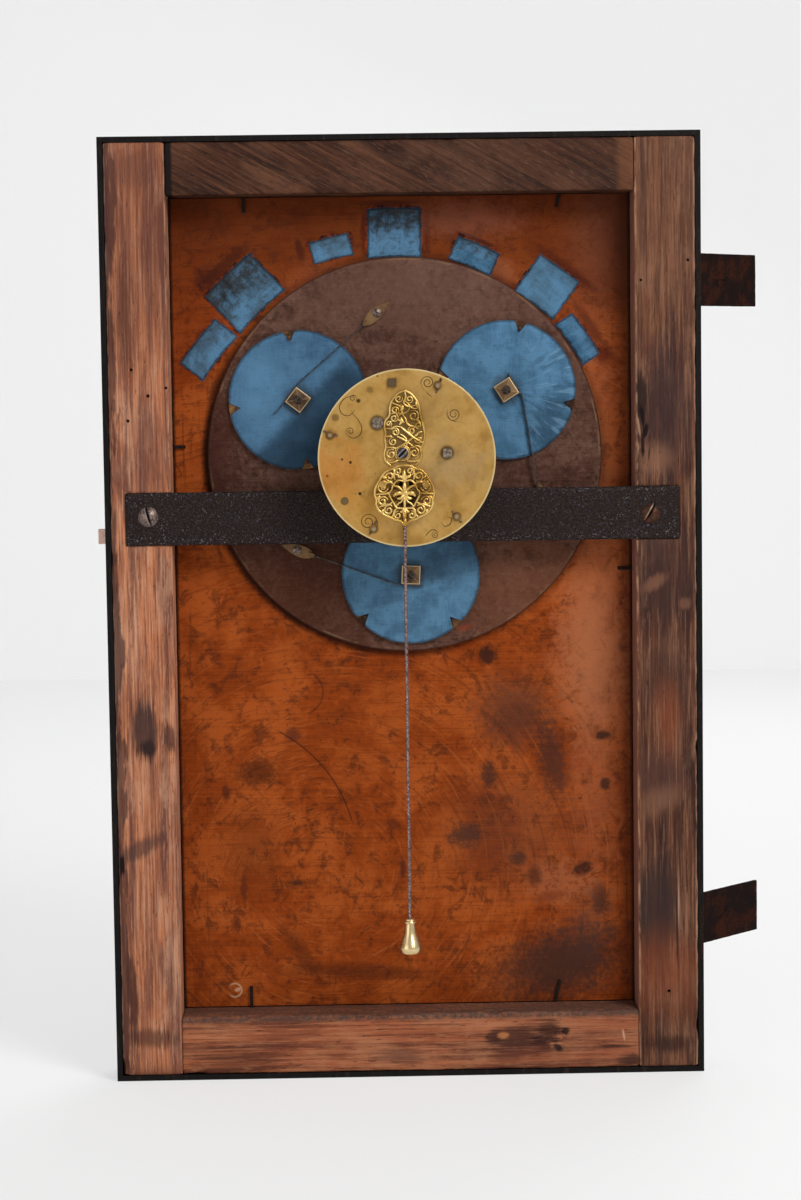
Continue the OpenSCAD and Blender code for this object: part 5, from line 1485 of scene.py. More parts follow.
bar_iron = iron_finish("black_iron", "15100e", "2f2420", "41251a", 0.16, 0.12, 0.5, 0.35, 1)
from_end = bar_iron.spread((bar_iron.axis(0) - CENTRE[0]).absolute(), 50, 165)
near_edge = bar_iron.spread((bar_iron.axis(2) - BAR_Z).absolute(), 9, 17)
grains = bar_iron.spread(bar_iron.noise(1.0, detail=2), 0.61, 0.68)
clumps = bar_iron.spread(bar_iron.noise(6, detail=3), 0.45, 0.62)
bar_iron.layer(grains * (0.06 + 0.38 * from_end * clumps), colour("9a9698"))
bar_iron.layer(grains * near_edge * 0.5, colour("86858c"))
blue_grains = bar_iron.spread(bar_iron.noise(2.0, detail=3), 0.62, 0.70)
bar_iron.layer(blue_grains * 0.25, colour("4a5878"))
bar_iron.set(Base_Color=bar_iron.skin)

screw_iron = iron_finish("screw_iron", "4f403a", "8a7870", "7a4024", 0.15, 0.4, 0.35, 0.8, 2)
rusted_end = screw_iron.spread(screw_iron.axis(0), 60, 100)
rust_cloud = screw_iron.spread(screw_iron.cloud, 0.4, 0.6)
screw_rust = screw_iron.mix(rust_cloud, colour("21140e"), colour("4f2a17"))
screw_iron.layer(rusted_end * 0.85, screw_rust)
# Painted glint: a pale band along one wall of each screw's slot, in the colour given beside the screw, and
# painted shadow in the slot.
for x, z, turn, bare in ((-157.3, 354.6, 105, "a89a90"), (152.3, 352.6, 60, "b59a80")):
    side = math.radians(turn + 90)
    lit = screw_iron.spot(x + 0.9 * math.cos(side), z + 0.9 * math.sin(side), 12, 0.9, turn, 0.4)
    screw_iron.layer(lit * 0.75, colour(bare))
    slot_shadow = screw_iron.spot(x, z, 13, 1.7, turn, 0.3)
    screw_iron.layer(slot_shadow * 0.95, colour("0b0705"))
screw_iron.set(Base_Color=screw_iron.skin)

rusty_iron = iron_finish("rusty_iron", "0c0504", "1a0b07", "301409", 0.6, 0.02, 0.8, 0.05, 3)
nail_iron = iron_finish("nail_iron", "0f0b09", "2c1f18", "3a2013", 0.3, 0.08, 0.6, 0.4, 4)
bolt_iron = iron_finish("bolt_iron", "c9a193", "e3c4b6", "b07a58", 0.15, 0.1, 0.35, 0.75, 5)
steel = iron_finish("steel", "6e6862", "a8a29a", "6a4a34", 0.1, 0.3, 0.3, 0.9, 6)
pin_steel = iron_finish("pin_steel", "3a2a20", "7a6450", "6b4226", 0.25, 0.1, 0.35, 0.8, 7)
arbor_steel = iron_finish("arbor_steel", "5a4a40", "a09080", "5a4234", 0.15, 0.06, 0.3, 0.8, 10)
for u, v, wide in ((*BARREL_END, 7.0), (*WINDING_END, 7.4)):
    face = on_plate(arbor_steel, u, v, wide, None, 0.35)
    near = on_plate(arbor_steel, u, v, 12, None, 0.1)
    rim_skin = arbor_steel.mix(near * 0.75, arbor_steel.skin, colour("1f1613"))
    arbor_steel.skin = arbor_steel.mix(face, rim_skin, arbor_steel.skin)
arbor_steel.set(Base_Color=arbor_steel.skin)
stud_steel = iron_finish("stud_steel", "241c19", "5a4d45", "3f2a1e", 0.2, 0.15, 0.28, 0.8, 11)
spring_steel = iron_finish("spring_steel", "2a2727", "5d5957", "4a3226", 0.15, 0.3, 0.32, 0.85, 8)
rod_steel = iron_finish("rod_steel", "5c4744", "a08a86", "7a4a34", 0.25, 0.3, 0.35, 0.85, 9)
print("iron finishes ready")

# %% [markdown]
# The crossbar is forged flat iron. A remeshed copy gets a hammered face and an uneven edge, and its two
# domed screws keep their CAD shape with softened edges.

# %% Crossbar, screws, nails and hinges
def hammered(amount, size):
    def push(place, normal):
        return amount * (noise.noise(place / size) + 0.4 * noise.noise(place / (size * 0.3)))

    return push


bar = even_skin(copy_of("crossbar", name="crossbar_forged"), 0.85)
dent(bar, hammered(0.16, 9))
dressed(bar, bar_iron, "door", "black_iron", "crossbar", smooth=60)

leaves = even_skin(copy_of("case_leaves", name="case_leaves_rusted"), 0.7)
dent(leaves, hammered(0.12, 4))
dressed(leaves, rusty_iron, "case_side", "rusty_iron", "case_leaves", smooth=60)
bevelled("case_leaf_screws", rusty_iron, "case_side", "rusty_iron", 0.25)
bevelled("crossbar_screws", screw_iron, "door", "screw_iron", 0.3)
bevelled("door_leaves", nail_iron, "door", "iron", 0.2)
bevelled("hinge_pins", nail_iron, "case_side", "iron", 0.3)
bevelled("iron_nails", nail_iron, "door", "iron", 0.2)
bevelled("lock_case", nail_iron, "door", "iron", 0.2)
bevelled("lock_bolt", bolt_iron, "lock_bolt", "bolt_iron", 0.4)
bevelled("trip_finger", nail_iron, "door", "iron", 0.15)
print("crossbar faces:", len(bar.data.polygons))

# %% [markdown]
# ## Brass
# The movement is gilt and lacquered brass that has kept its colour, while the small squares and feet on
# the discs are dull. The function lays a warm tarnish in clouds, thin scratches and dark spots on the
# ground colour.

# %% Brass finishes
VERGE = (-1.8, -21.4)
COCK_SCREW = (-2.6, 2.9)


def brass_finish(name, ground, dark, pale, rough, tarnish, shine, seed):
    finish = Finish(name, metallic=shine, roughness=rough)
    here = {"shift": (seed * 0.17, seed * 0.13, seed * 0.05)}
    cloud = finish.noise(16, detail=4, rough=0.6, **here)
    scratch = finish.noise((0.5, 0.5, 9), detail=3, turn=(0, 0.9, 0), **here)
    spots = finish.spread(finish.noise(1.6, detail=3, rough=0.6, **here), 0.64, 0.74)
    finish.skin = finish.mix(finish.spread(cloud, 0.35, 0.68), colour(ground), colour(pale))
    finish.layer(finish.spread(scratch, 0.52, 0.7) * 0.25, colour(pale))
    finish.layer((1 - finish.spread(cloud, 0.3, 0.5)) * tarnish, colour(dark))
    finish.layer(spots * tarnish, colour(dark))
    finish.set(
        Base_Color=finish.skin,
        Roughness=rough + cloud * 0.15 + spots * 0.2,
        Normal=finish.bump(scratch * 0.5 + cloud * 0.6 - spots * 0.3, 0.02),
    )
    return finish


# %% The gilt of the plates
gilt = brass_finish("gilt_brass", "b88c45", "8d6630", "c59d5a", 0.36, 0.4, 0.8, 1)
tint = gilt.noise(9, detail=4)
gilt.layer(on_plate(gilt, -42, -8, 30, 34, 0.6, tint) * 0.55, colour("c2752a"))
gilt.layer(on_plate(gilt, -26, -30, 40, 24, 0.6, tint) * 0.35, colour("c58c3a"))
gilt.layer(on_plate(gilt, 28, -6, 34, 30, 0.7, tint) * 0.45, colour("a58a66"))
gilt.layer(on_plate(gilt, 12, 30, 40, 30, 0.7, tint) * 0.3, colour("a88a58"))
rubbed = gilt.spread(gilt.noise(2.4, detail=5, rough=0.7), 0.52, 0.66)
gilt.layer(rubbed * 0.3, colour("8f6a34"))
gu, gv = gilt.axis(0) - CENTRE[0], gilt.axis(2) - CENTRE[1]
plate_reach = (gu * gu + gv * gv) ** 0.5
# Painted highlight: a pale ring along the rim of the back plate.
gilt.layer(gilt.spread(plate_reach, 52.3, 53.2) * 0.6, colour("f0dda8"))
# Dark spots painted where holes pierce the back plate, standing for the shade inside them.
for u, v, wide, shade in (
    (-34, -2.3, 1.7, 1.0),
    (-39, -0.5, 1.3, 0.6),
    (-48, -10.3, 1.5, 0.8),
    (-28.5, -21.2, 1.9, 1.0),
    (-37, -36.4, 1.2, 1.0),
    (-28.6, 34.6, 2.6, 0.7),
    (-42.6, 24.7, 4.4, 0.55),
    (-21.6, 41.0, 4.0, 0.4),
    (-17, 49.3, 1.4, 0.6),
):
    gilt.layer(on_plate(gilt, u, v, wide, None, 0.3) * shade, colour("2a1c0d"))
for u, v in ((-46.1, 14.1), (-20.5, -42.6), (29.5, -35.7), (18.9, 43.2)):
    gilt.layer(on_plate(gilt, u, v, 5.6, None, 0.3) * 0.8, colour("5f4420"))
    gilt.layer(on_plate(gilt, u, v, 2.4, None, 0.5) * 0.75, colour("a8957a"))
for u, v, wide in ((*BARREL_END, 9.4), (*WINDING_END, 8.6)):
    gilt.layer(on_plate(gilt, u, v, wide, None, 0.25) * 0.75, colour("4a3416"))
# Painted shade on the plate under the upper cock, so that its openings look dark.
cock_shade = on_plate(gilt, -1.7, 18.2, 23, 43, 0.18)
gilt.layer(cock_shade * 0.75, colour("4d3818"))
# Painted shade under the pendulum cock, and near black in the hole of the verge.
gilt.layer(on_plate(gilt, *VERGE, 33, 33, 0.12) * 0.7, colour("59411c"))
gilt.layer(on_plate(gilt, *VERGE, 15, 15, 0.25) * 0.95, colour("0d0805"))
gilt.set(Base_Color=gilt.skin)

# %% The brass of the small parts
gilt_cock = brass_finish("gilt_cock", "c79a48", "6b4a20", "e8c87e", 0.28, 0.5, 0.9, 2)
brass = brass_finish("brass", "a98443", "6e5024", "c3a05c", 0.34, 0.5, 0.9, 3)
foot_brass = brass_finish("foot_brass", "5a4028", "281a10", "7f603c", 0.38, 0.8, 0.6, 4)
dark_brass = brass_finish("dark_brass", "3a2415", "1a100b", "5f4126", 0.5, 0.8, 0.5, 6)
bob_brass = brass_finish("bob_brass", "c9a877", "8d6a3e", "e8cf9e", 0.2, 0.3, 0.95, 5)

# %% Plates, pins, studs and springs
for node in ("back_plate", "front_plate", "pillars"):
    bevelled(node, gilt, "door", "gilt_brass", 0.22)
bevelled("taper_pins", pin_steel, "door", "steel", 0.12)
head_brass = brass_finish("screw_heads", "a8803c", "6b4a22", "c79d58", 0.35, 0.5, 0.85, 7)
for u, v, wide, code in (
    (*COCK_SCREW, 8.4, "33323c"),
    (-8.3, 45.2, 7.4, "5b4a3a"),
    (-37.8, -25.5, 5.6, "6a5a3e"),
):
    head_brass.layer(on_plate(head_brass, u, v, wide) * 0.92, colour(code))
cock_head = (CENTRE[0] + COCK_SCREW[0], CENTRE[1] + COCK_SCREW[1])
# Painted glint along the slot of the cock screw, and painted shade in the slot itself.
slot_glint = head_brass.spot(*cock_head, 9, 3.6, 45, 0.2)
head_brass.layer(slot_glint * 0.65, colour("9a9494"))
head_brass.layer(head_brass.spot(*cock_head, 9, 1.5, 45, 0.15), colour("0d0b0b"))
head_brass.set(Base_Color=head_brass.skin)
bevelled("movement_screws", head_brass, "door", "gilt_brass", 0.15)
bevelled("disc_studs", stud_steel, "carrier", "steel", 0.25)
bevelled("jumper_feet", foot_brass, "carrier", "dull_brass", 0.35)
bevelled("jumper_screws", screw_iron, "carrier", "screw_iron", 0.15)
for i in (1, 2, 3):
    bevelled("jumper_spring_" + str(i), spring_steel, "carrier", "spring_steel", 0.08)
    bevelled("trip_pins_" + str(i), dark_brass, "hour_disc_" + str(i), "dull_brass", 0.25)
print("brass finishes ready")

# %% [markdown]
# Each hour disc has a brass square on its stud. A low pyramid is filed on it, so four facets meet in thin
# ridges. The CAD part has the square and its bore, and the facets come from a bump that rises towards the
# middle.

# %% Squares with filed facets
def square_finish(i):
    ground = ("4a3626", "6c523a", "4a3626")[i]
    finish = brass_finish("square_brass_" + str(i + 1), ground, "21150d", "7a5e40", 0.38, 0.7, 0.65, 20 + i)
    x0, z0 = disc_middle(i)
    turn = math.radians(DISC_ANGLES[i] + DISC_TURNS[i])
    dx, dz = finish.axis(0) - x0, finish.axis(2) - z0
    u = (dx * math.cos(turn) + dz * math.sin(turn)).absolute()
    v = (dz * math.cos(turn) - dx * math.sin(turn)).absolute()
    ridge = 1 - finish.spread((u - v).absolute(), 0.1, 0.5)
    rim = finish.spread(u.high(v), 5.0, 5.4)
    hub = 1 - finish.spread((u * u + v * v) ** 0.5, 2.4, 3.0)
    finish.layer(ridge * 0.4, colour("b5946a"))
    finish.layer(rim * 0.75, colour("d6b98c"))
    finish.layer(hub * 0.7, colour("241912"))
    facets = 1 - u.high(v) * 0.17
    finish.set(Base_Color=finish.skin, Normal=finish.bump(facets, 0.9))
    return finish


for i in range(3):
    name = "hour_square_" + str(i + 1)
    bevelled(name, square_finish(i), "hour_disc_" + str(i + 1), "dull_brass", 0.3)
print("squares: 3")

# %% [markdown]
# ## Scrollwork
# The two cocks over the back plate are pierced brass: a rim with scrolls and leaves inside. The plate
# itself is engraved with plain spirals. All of them are strokes that follow a curve and swell in their
# middle, so one tree makes them: it turns a line of points into a curve, reads a width at each point and
# sweeps an eight-sided bar.

# %% A tree for strokes
strokes = Growth("strokes", Sides="Int", Finish="Material")
stroke_curve = strokes.add("GeometryNodeMeshToCurve", {}, {"Mesh": strokes.given("Geometry")})
stroke_curve = strokes.add(
    "GeometryNodeSetCurveNormal", {"mode": "FREE"}, {"Curve": stroke_curve, "Normal": (0, -1, 0)}
)
profile = strokes.add(
    "GeometryNodeCurvePrimitiveCircle", {}, {"Resolution": strokes.given("Sides"), "Radius": 1.0}
)
stroke_width = strokes.add("GeometryNodeInputNamedAttribute", {"data_type": "FLOAT"}, {"Name": "width"})
swept = strokes.add(
    "GeometryNodeCurveToMesh",
    {},
    {"Curve": stroke_curve, "Profile Curve": profile, "Scale": stroke_width, "Fill Caps": True},
)
strokes.end(swept)


def sweep(name, lines, finish, sides=8):
    """Sweeps lines, each a depth and a list of ((x, z), half width), in mm from the centre."""
    points, edges, widths = [], [], []
    for y, line in lines:
        first = len(points)
        for (u, v), half in line:
            points.append(near_centre(u, v, y))
            widths.append(half * MM)
        edges += [(k, k + 1) for k in range(first, len(points) - 1)]
    obj = marks_mesh(name, points, "width", widths, edges)
    return strokes.run(obj, Sides=sides, Finish=finish.material)


def spiral(middle, reach, start, turns, hand, thick, eye=0.25, swell=0.5):
    """A scroll that winds in from its start angle. hand is 1 for left-handed, -1 for right-handed."""
    line = []
    steps = max(14, int(turns * 26))
    for k in range(steps + 1):
        t = k / steps
        angle = math.radians(start) + hand * 2 * math.pi * turns * t
        r = reach * (1 - (1 - eye) * t**0.8)
        half = thick * (0.55 + swell * math.sin(math.pi * min(1, t * 1.1)) + 0.25 * t)
        line.append(((middle[0] + r * math.cos(angle), middle[1] + r * math.sin(angle)), half))
    return line


def bend(start, pull, end, thick):
    """A curved stroke from start to end, drawn towards pull, thin at both ends."""
    line = []
    steps, tip = 14, 0.3
    for k in range(steps + 1):
        t = k / steps
        u = (1 - t) ** 2 * start[0] + 2 * t * (1 - t) * pull[0] + t * t * end[0]
        v = (1 - t) ** 2 * start[1] + 2 * t * (1 - t) * pull[1] + t * t * end[1]
        line.append(((u, v), thick * (tip + (1 - tip) * math.sin(math.pi * t))))
    return line


def mirrored(line):
    return [((-u, v), half) for (u, v), half in line]


# %% [markdown]
# The upper cock is a long shield that narrows in the middle and at its top, screwed down at its foot.
# Inside its outline an irregular net of scrolls, crossing bars and leaves leaves dark openings. Each
# stroke is listed in millimetres from the centre of the plate.

# %% Upper cock
BACK_Y = depth("back_plate")
upper_y = BACK_Y - 0.78


def smooth_line(points, per=6):
    """A Catmull-Rom curve through points."""
    out = []
    full = [points[0]] + list(points) + [points[-1]]
    for a, b, c, d in zip(full, full[1:], full[2:], full[3:]):
        for k in range(per):
            t = k / per
            square, cube = t * t, t * t * t
            step = []
            for p, q, r, s in zip(a, b, c, d):
                whole = 2 * q + (r - p) * t + (2 * p - 5 * q + 4 * r - s) * square
                step.append(0.5 * (whole + (3 * q - p - 3 * r + s) * cube))
            out.append(tuple(step))
    out.append(points[-1])
    return out


def stroke(points, half, tips=0.45):
    """A stroke through listed points, thinner at both ends."""
    line = smooth_line(points, 5)
    last = len(line) - 1
    swell = [tips + (1 - tips) * math.sin(math.pi * k / last) for k in range(last + 1)]
    return [(p, 1.2 * half * swell[k]) for k, p in enumerate(line)]


SHIELD_LEFT = [
    (-0.6, 40.4),
    (-4.6, 38.9),
    (-8.2, 35.0),
    (-9.8, 30.5),
    (-10.2, 25.6),
    (-12.6, 22.6),
    (-13.2, 19.0),
    (-12.6, 15.4),
    (-13.0, 11.4),
    (-12.5, 7.2),
    (-13.5, 2.6),
    (-12.6, -1.8),
    (-9.8, -4.4),
]
SHIELD_RIGHT = [
    (-0.6, 40.4),
    (2.8, 38.6),
    (5.6, 35.4),
    (7.6, 31.4),
    (8.6, 25.4),
    (9.8, 20.6),
    (10.9, 14.4),
    (10.2, 9.2),
    (8.5, 5.2),
    (8.9, 1.6),
    (7.4, -2.2),
    (4.8, -4.4),
]

# %% Every stroke of the upper cock
upper_lines = [[(p, 0.62) for p in smooth_line(side)] for side in (SHIELD_LEFT, SHIELD_RIGHT)]
upper_lines += [
    spiral((2.0, 35.2), 2.7, 200, 1.4, 1, 0.5),
    spiral((-4.6, 35.6), 2.6, 20, 1.3, -1, 0.5),
    spiral((4.4, 25.2), 3.6, 120, 1.5, -1, 0.55),
    spiral((-6.8, 28.6), 2.6, 330, 1.3, 1, 0.5),
    spiral((-7.3, 24.0), 2.7, 60, 1.4, -1, 0.5),
    spiral((-10.6, 20.6), 2.0, 300, 1.3, 1, 0.5),
    spiral((3.0, 16.4), 2.7, 40, 1.6, 1, 0.55),
    spiral((-6.6, 15.6), 2.7, 150, 1.5, -1, 0.55),
    spiral((7.4, 19.6), 2.2, 260, 1.2, -1, 0.5),
    spiral((-8.2, 9.8), 2.7, 80, 1.4, 1, 0.5),
    spiral((7.2, 10.8), 2.4, 180, 1.3, 1, 0.5),
    spiral((4.6, 3.2), 3.2, 120, 1.4, -1, 0.6),
    spiral((-9.4, 2.4), 3.1, 60, 1.4, 1, 0.6),
    stroke([(-0.8, 40.0), (-0.2, 36.6), (-1.4, 33.0), (1.4, 30.8), (5.8, 31.6)], 0.6),
    stroke([(-8.8, 33.2), (-5.6, 32.0), (-3.0, 30.4), (-2.6, 27.4), (-4.4, 25.4)], 0.6),
    stroke([(-3.2, 32.2), (-2.2, 30.0), (-3.6, 28.2)], 1.0, 0.3),
    stroke([(0.8, 33.0), (2.2, 31.0), (4.4, 29.6), (7.6, 30.0)], 0.5),
    stroke([(-9.8, 26.6), (-6.0, 27.0), (-2.4, 26.6), (0.8, 28.0), (2.2, 30.4)], 0.5),
    stroke([(-2.4, 26.4), (-0.4, 23.4), (0.6, 20.6), (2.6, 19.2), (6.0, 18.8)], 0.6),
    stroke([(-5.2, 22.8), (-3.0, 22.6), (-1.2, 21.0)], 1.0, 0.3),
    stroke([(-3.4, 24.6), (-2.8, 22.0), (-4.4, 19.8)], 0.9, 0.3),
    stroke([(-12.4, 18.0), (-9.4, 17.8), (-6.8, 19.0), (-3.6, 18.6)], 0.5),
    stroke([(-3.4, 18.6), (0.6, 15.2), (4.8, 11.8), (9.8, 9.0)], 0.6, 0.7),
    stroke([(-5.8, 13.0), (-2.0, 11.2), (1.4, 8.8), (4.2, 6.6)], 0.55, 0.7),
    stroke([(6.2, 14.2), (2.8, 11.4), (-0.6, 9.0), (-4.6, 6.4)], 0.6, 0.7),
    stroke([(-3.8, 14.4), (-1.0, 12.4), (0.4, 9.4), (-0.6, 6.6)], 0.45, 0.6),
    stroke([(9.6, 15.8), (7.2, 15.0), (5.6, 12.8)], 0.7, 0.4),
    stroke([(-12.2, 13.0), (-9.8, 13.2), (-8.4, 12.4)], 0.7, 0.4),
    stroke([(-12.0, 6.6), (-9.0, 6.4), (-6.4, 5.8), (-4.4, 6.6)], 0.55),
    stroke([(8.4, 6.2), (6.0, 7.2), (3.8, 6.6), (1.8, 5.8)], 0.55),
    stroke([(8.2, -0.8), (5.6, -2.0), (2.4, -2.2), (0.2, -1.8)], 0.8, 0.5),
    stroke([(-12.0, -2.2), (-9.6, -2.8), (-7.2, -2.2), (-5.4, -1.4)], 0.8, 0.5),
    stroke([(7.4, 24.6), (6.6, 22.6), (8.6, 21.4)], 0.7, 0.4),
    stroke([(5.8, 34.0), (6.2, 31.8), (7.2, 30.2)], 0.7, 0.4),
]
upper_lines += [spiral(COCK_SCREW, r, 0, 1.05, 1, 0.7, 1.0, 0.0) for r in (3.6, 4.6)]
upper = sweep("upper_cock_scrolls", [(upper_y, line) for line in upper_lines], gilt_cock)
dressed(upper, gilt_cock, "door", "gilt_cock", "upper_cock", smooth=50)

# %% [markdown]
# The lower cock is round with soft lobes and stands on two posts. Its pattern is drawn for the right
# half, in millimetres from the pivot of the pendulum, and mirrored: leaves in a cross round the boss, a
# fleur-de-lis above and below, a broken inner ring, and a wreath of scrolls.

# %% Pendulum cock
lower_y = depth("pendulum_cock") + 0.62


def around(middle, r, angle):
    return middle[0] + r * math.cos(math.radians(angle)), middle[1] + r * math.sin(math.radians(angle))


RIM_HALF = [
    (0, 17.2),
    (3.6, 16.8),
    (6.4, 15.4),
    (9.6, 14.4),
    (12.6, 12.0),
    (14.6, 8.8),
    (16.2, 6.2),
    (17.6, 3.0),
    (17.8, -0.6),
    (16.8, -3.4),
    (17.0, -6.0),
    (15.6, -9.4),
    (12.4, -12.2),
    (9.2, -13.8),
    (6.0, -15.4),
    (3.0, -16.2),
    (0, -19.0),
]
HALF_STROKES = [
    spiral((3.6, 13.6), 2.6, 250, 1.4, 1, 0.55),
    spiral((8.6, 10.6), 3.2, 240, 1.4, 1, 0.6),
    spiral((13.2, 4.2), 3.5, 190, 1.4, 1, 0.6),
    spiral((13.2, -4.2), 3.2, 170, 1.4, -1, 0.6),
    spiral((9.6, -9.6), 3.3, 130, 1.4, -1, 0.6),
    spiral((4.2, -12.8), 2.6, 100, 1.3, -1, 0.55),
    stroke([(0, 7.4), (3.8, 8.2), (6.6, 5.6), (7.6, 2.8)], 0.55, 0.7),
    stroke([(7.6, 2.8), (9.2, 0.2), (8.2, -2.6), (7.0, -4.6)], 0.55, 0.7),
    stroke([(7.0, -4.6), (5.2, -7.8), (2.6, -8.6), (0, -8.2)], 0.55, 0.7),
    stroke([(0.6, 1.0), (2.4, 3.2), (4.4, 4.6), (6.6, 5.0)], 0.6, 0.6),
    stroke([(0.8, -0.6), (3.0, 0.6), (5.2, 0.0), (6.6, -1.6)], 1.25, 0.25),
    stroke([(0.8, -0.8), (2.6, -2.6), (4.6, -2.6)], 0.85, 0.3),
    stroke([(0.4, -1.2), (1.8, -4.4), (3.6, -5.6), (5.2, -7.2)], 0.5, 0.6),
    stroke([(0.4, 7.6), (1.6, 10.2), (3.2, 10.4), (3.8, 12.0)], 0.8, 0.3),
    stroke([(0.4, -8.4), (1.6, -10.6), (3.0, -10.4)], 0.8, 0.3),
    stroke([(6.8, 6.2), (8.8, 7.4), (10.6, 7.0), (12.4, 8.4)], 0.75, 0.4),
    stroke([(8.8, 1.0), (10.6, 0.4), (13.6, 0.2), (17.2, -0.2)], 0.7, 0.4),
    stroke([(7.4, -4.8), (9.2, -6.2), (11.6, -6.4), (15.8, -7.8)], 0.7, 0.4),
    stroke([(3.8, -8.2), (5.8, -9.6), (6.8, -12.6), (8.4, -14.0)], 0.65, 0.4),
    stroke([(5.6, 8.4), (6.2, 11.2), (5.8, 13.2), (6.4, 15.2)], 0.65, 0.4),
    stroke([(10.4, 10.2), (12.0, 9.8), (13.0, 11.4)], 0.8, 0.3),
    stroke([(14.6, -0.8), (15.8, -2.2), (16.6, -3.2)], 0.8, 0.3),
    stroke([(12.4, -9.2), (13.4, -10.4), (12.8, -12.0)], 0.8, 0.3),
]
MIDDLE_STROKES = [
    stroke([(0, 0.8), (0.1, 3.8), (0, 7.2)], 1.15, 0.25),
    stroke([(0, 7.2), (-0.1, 10.6), (0, 14.6)], 1.25, 0.2),
    stroke([(0, -0.8), (0.1, -4.4), (0, -8.2)], 0.75, 0.4),
    stroke([(0, -8.4), (-0.1, -12.2), (0, -15.8)], 1.15, 0.25),
    stroke([(0, -14.4), (0.1, -16.8), (0, -19.4)], 1.1, 0.4),
]

# %% The pendulum cock, mirrored and swept
half_rim = [(p, 0.7) for p in smooth_line(RIM_HALF)]
lower_lines = []
for line in [half_rim] + HALF_STROKES:
    lower_lines += [line, mirrored(line)]
lower_lines += MIDDLE_STROKES
lower_lines = [[((VERGE[0] + u, VERGE[1] + v), half) for (u, v), half in line] for line in lower_lines]
for r, half in ((1.5, 0.75), (0.7, 0.6)):
    lower_lines.append([(around(VERGE, r, 10 * k), half) for k in range(37)])
COCK_FEET = [(VERGE[0] - 12.9, -15.5), (VERGE[0] + 12.9, -15.5)]
for foot in COCK_FEET:
    lower_lines.append([(around(foot, 1.7, 15 * k), 0.62) for k in range(25)])
lower = sweep("pendulum_cock_scrolls", [(lower_y, line) for line in lower_lines], gilt_cock)
dressed(lower, gilt_cock, "door", "gilt_cock", "pendulum_cock", smooth=50)

# %% Turned posts of the cock
def turned(name, base, axis, outline, steps):
    """A turned piece: outline gives (radius, distance along the axis) in mm, from one end to the other."""
    along = Vector(axis)
    side_a = along.orthogonal().normalized()
    side_b = along.cross(side_a)
    points, faces = [], []
    for r, d in outline:
        for k in range(steps):
            a = 2 * math.pi * k / steps
            ray = side_a * math.cos(a) + side_b * math.sin(a)
            points.append(Vector(base) + (along * d + ray * r) * MM)
    for j in range(len(outline) - 1):
        for k in range(steps):
            a, b = j * steps + k, j * steps + (k + 1) % steps
            faces.append((a, b, b + steps, a + steps))
    faces.append(tuple(reversed(range(steps))))
    last = (len(outline) - 1) * steps
    faces.append(tuple(last + k for k in range(steps)))
    return plain_mesh(name, points, faces)


post_outline = [(1.9, 0.05), (2.1, 0.3), (2.1, 1.0), (1.7, 1.3), (1.7, 4.2), (2.1, 4.6), (2.1, 5.3)]
for foot, label in zip(COCK_FEET, ("left", "right")):
    post = turned("cock_post_" + label, near_centre(*foot, BACK_Y), (0, -1, 0), post_outline, 32)
    dressed(post, gilt_cock, "door", "gilt_cock")
print("cock strokes:", len(upper_lines) + len(lower_lines))

# %% [markdown]
# The engraving on the back plate is plain spirals and tendrils. Such lines are filled with dark wax, so
# they are strokes of wax that stand a few hundredths of a millimetre out of the brass.

# %% Engraved spirals
wax = Finish("engraving_wax", roughness=0.6, Specular_IOR_Level=0.2)
wax_cloud = wax.noise(2, detail=2)
wax.set(Base_Color=wax.mix(wax_cloud, colour("3a2710"), colour("6a4c22")), Roughness=0.5 + wax_cloud * 0.2)

ENGRAVED = [
    spiral((13.1, 45.0), 4.7, 250, 1.9, -1, 0.27, 0.2),
    bend((11.4, 40.6), (13.8, 36.8), (16.4, 36.4), 0.28),
    spiral((28.6, 25.8), 4.6, 150, 1.8, 1, 0.27, 0.2),
    bend((24.6, 28.2), (24.6, 20.4), (32.4, 21.6), 0.28),
    spiral((-32.0, 36.2), 2.5, 300, 1.6, 1, 0.24, 0.2),
    stroke(
        [(-30.2, 37.8), (-36.4, 36.4), (-40.0, 31.6), (-38.6, 27.0), (-34.4, 25.8), (-30.6, 29.4)],
        0.28,
    ),
    stroke(
        [(-32.6, 27.6), (-29.0, 23.2), (-26.8, 18.0), (-28.6, 13.6), (-33.0, 12.4), (-36.6, 15.2)],
        0.28,
    ),
    spiral((-33.8, 16.4), 2.7, 210, 1.4, -1, 0.24, 0.2),
    spiral((-24.0, -38.3), 5.5, 0, 1.9, 1, 0.30, 0.16),
    bend((-20.2, -34.2), (-17.4, -38.4), (-18.6, -42.2), 0.28),
    stroke([(20.2, -38.8), (22.2, -41.6), (25.6, -40.2), (26.4, -36.8), (24.4, -36.2)], 0.28),
    spiral((16.5, -46.6), 2.5, 60, 1.7, 1, 0.24, 0.2),
    stroke([(18.6, -45.2), (15.4, -43.4), (12.6, -45.0), (10.6, -47.6)], 0.28),
]
engraved = sweep("plate_engraving", [(BACK_Y + 0.10, line) for line in ENGRAVED], wax, sides=6)
dressed(engraved, wax, "door", "gilt_brass")
print("engraved strokes:", len(ENGRAVED))

# %% [markdown]
# ## The pendulum
# The rod is two wires twisted together. A tree bends a straight line into a helix by its share of the
# length and sweeps it, once for each wire. The bob is turned brass in the shape of a small bell.

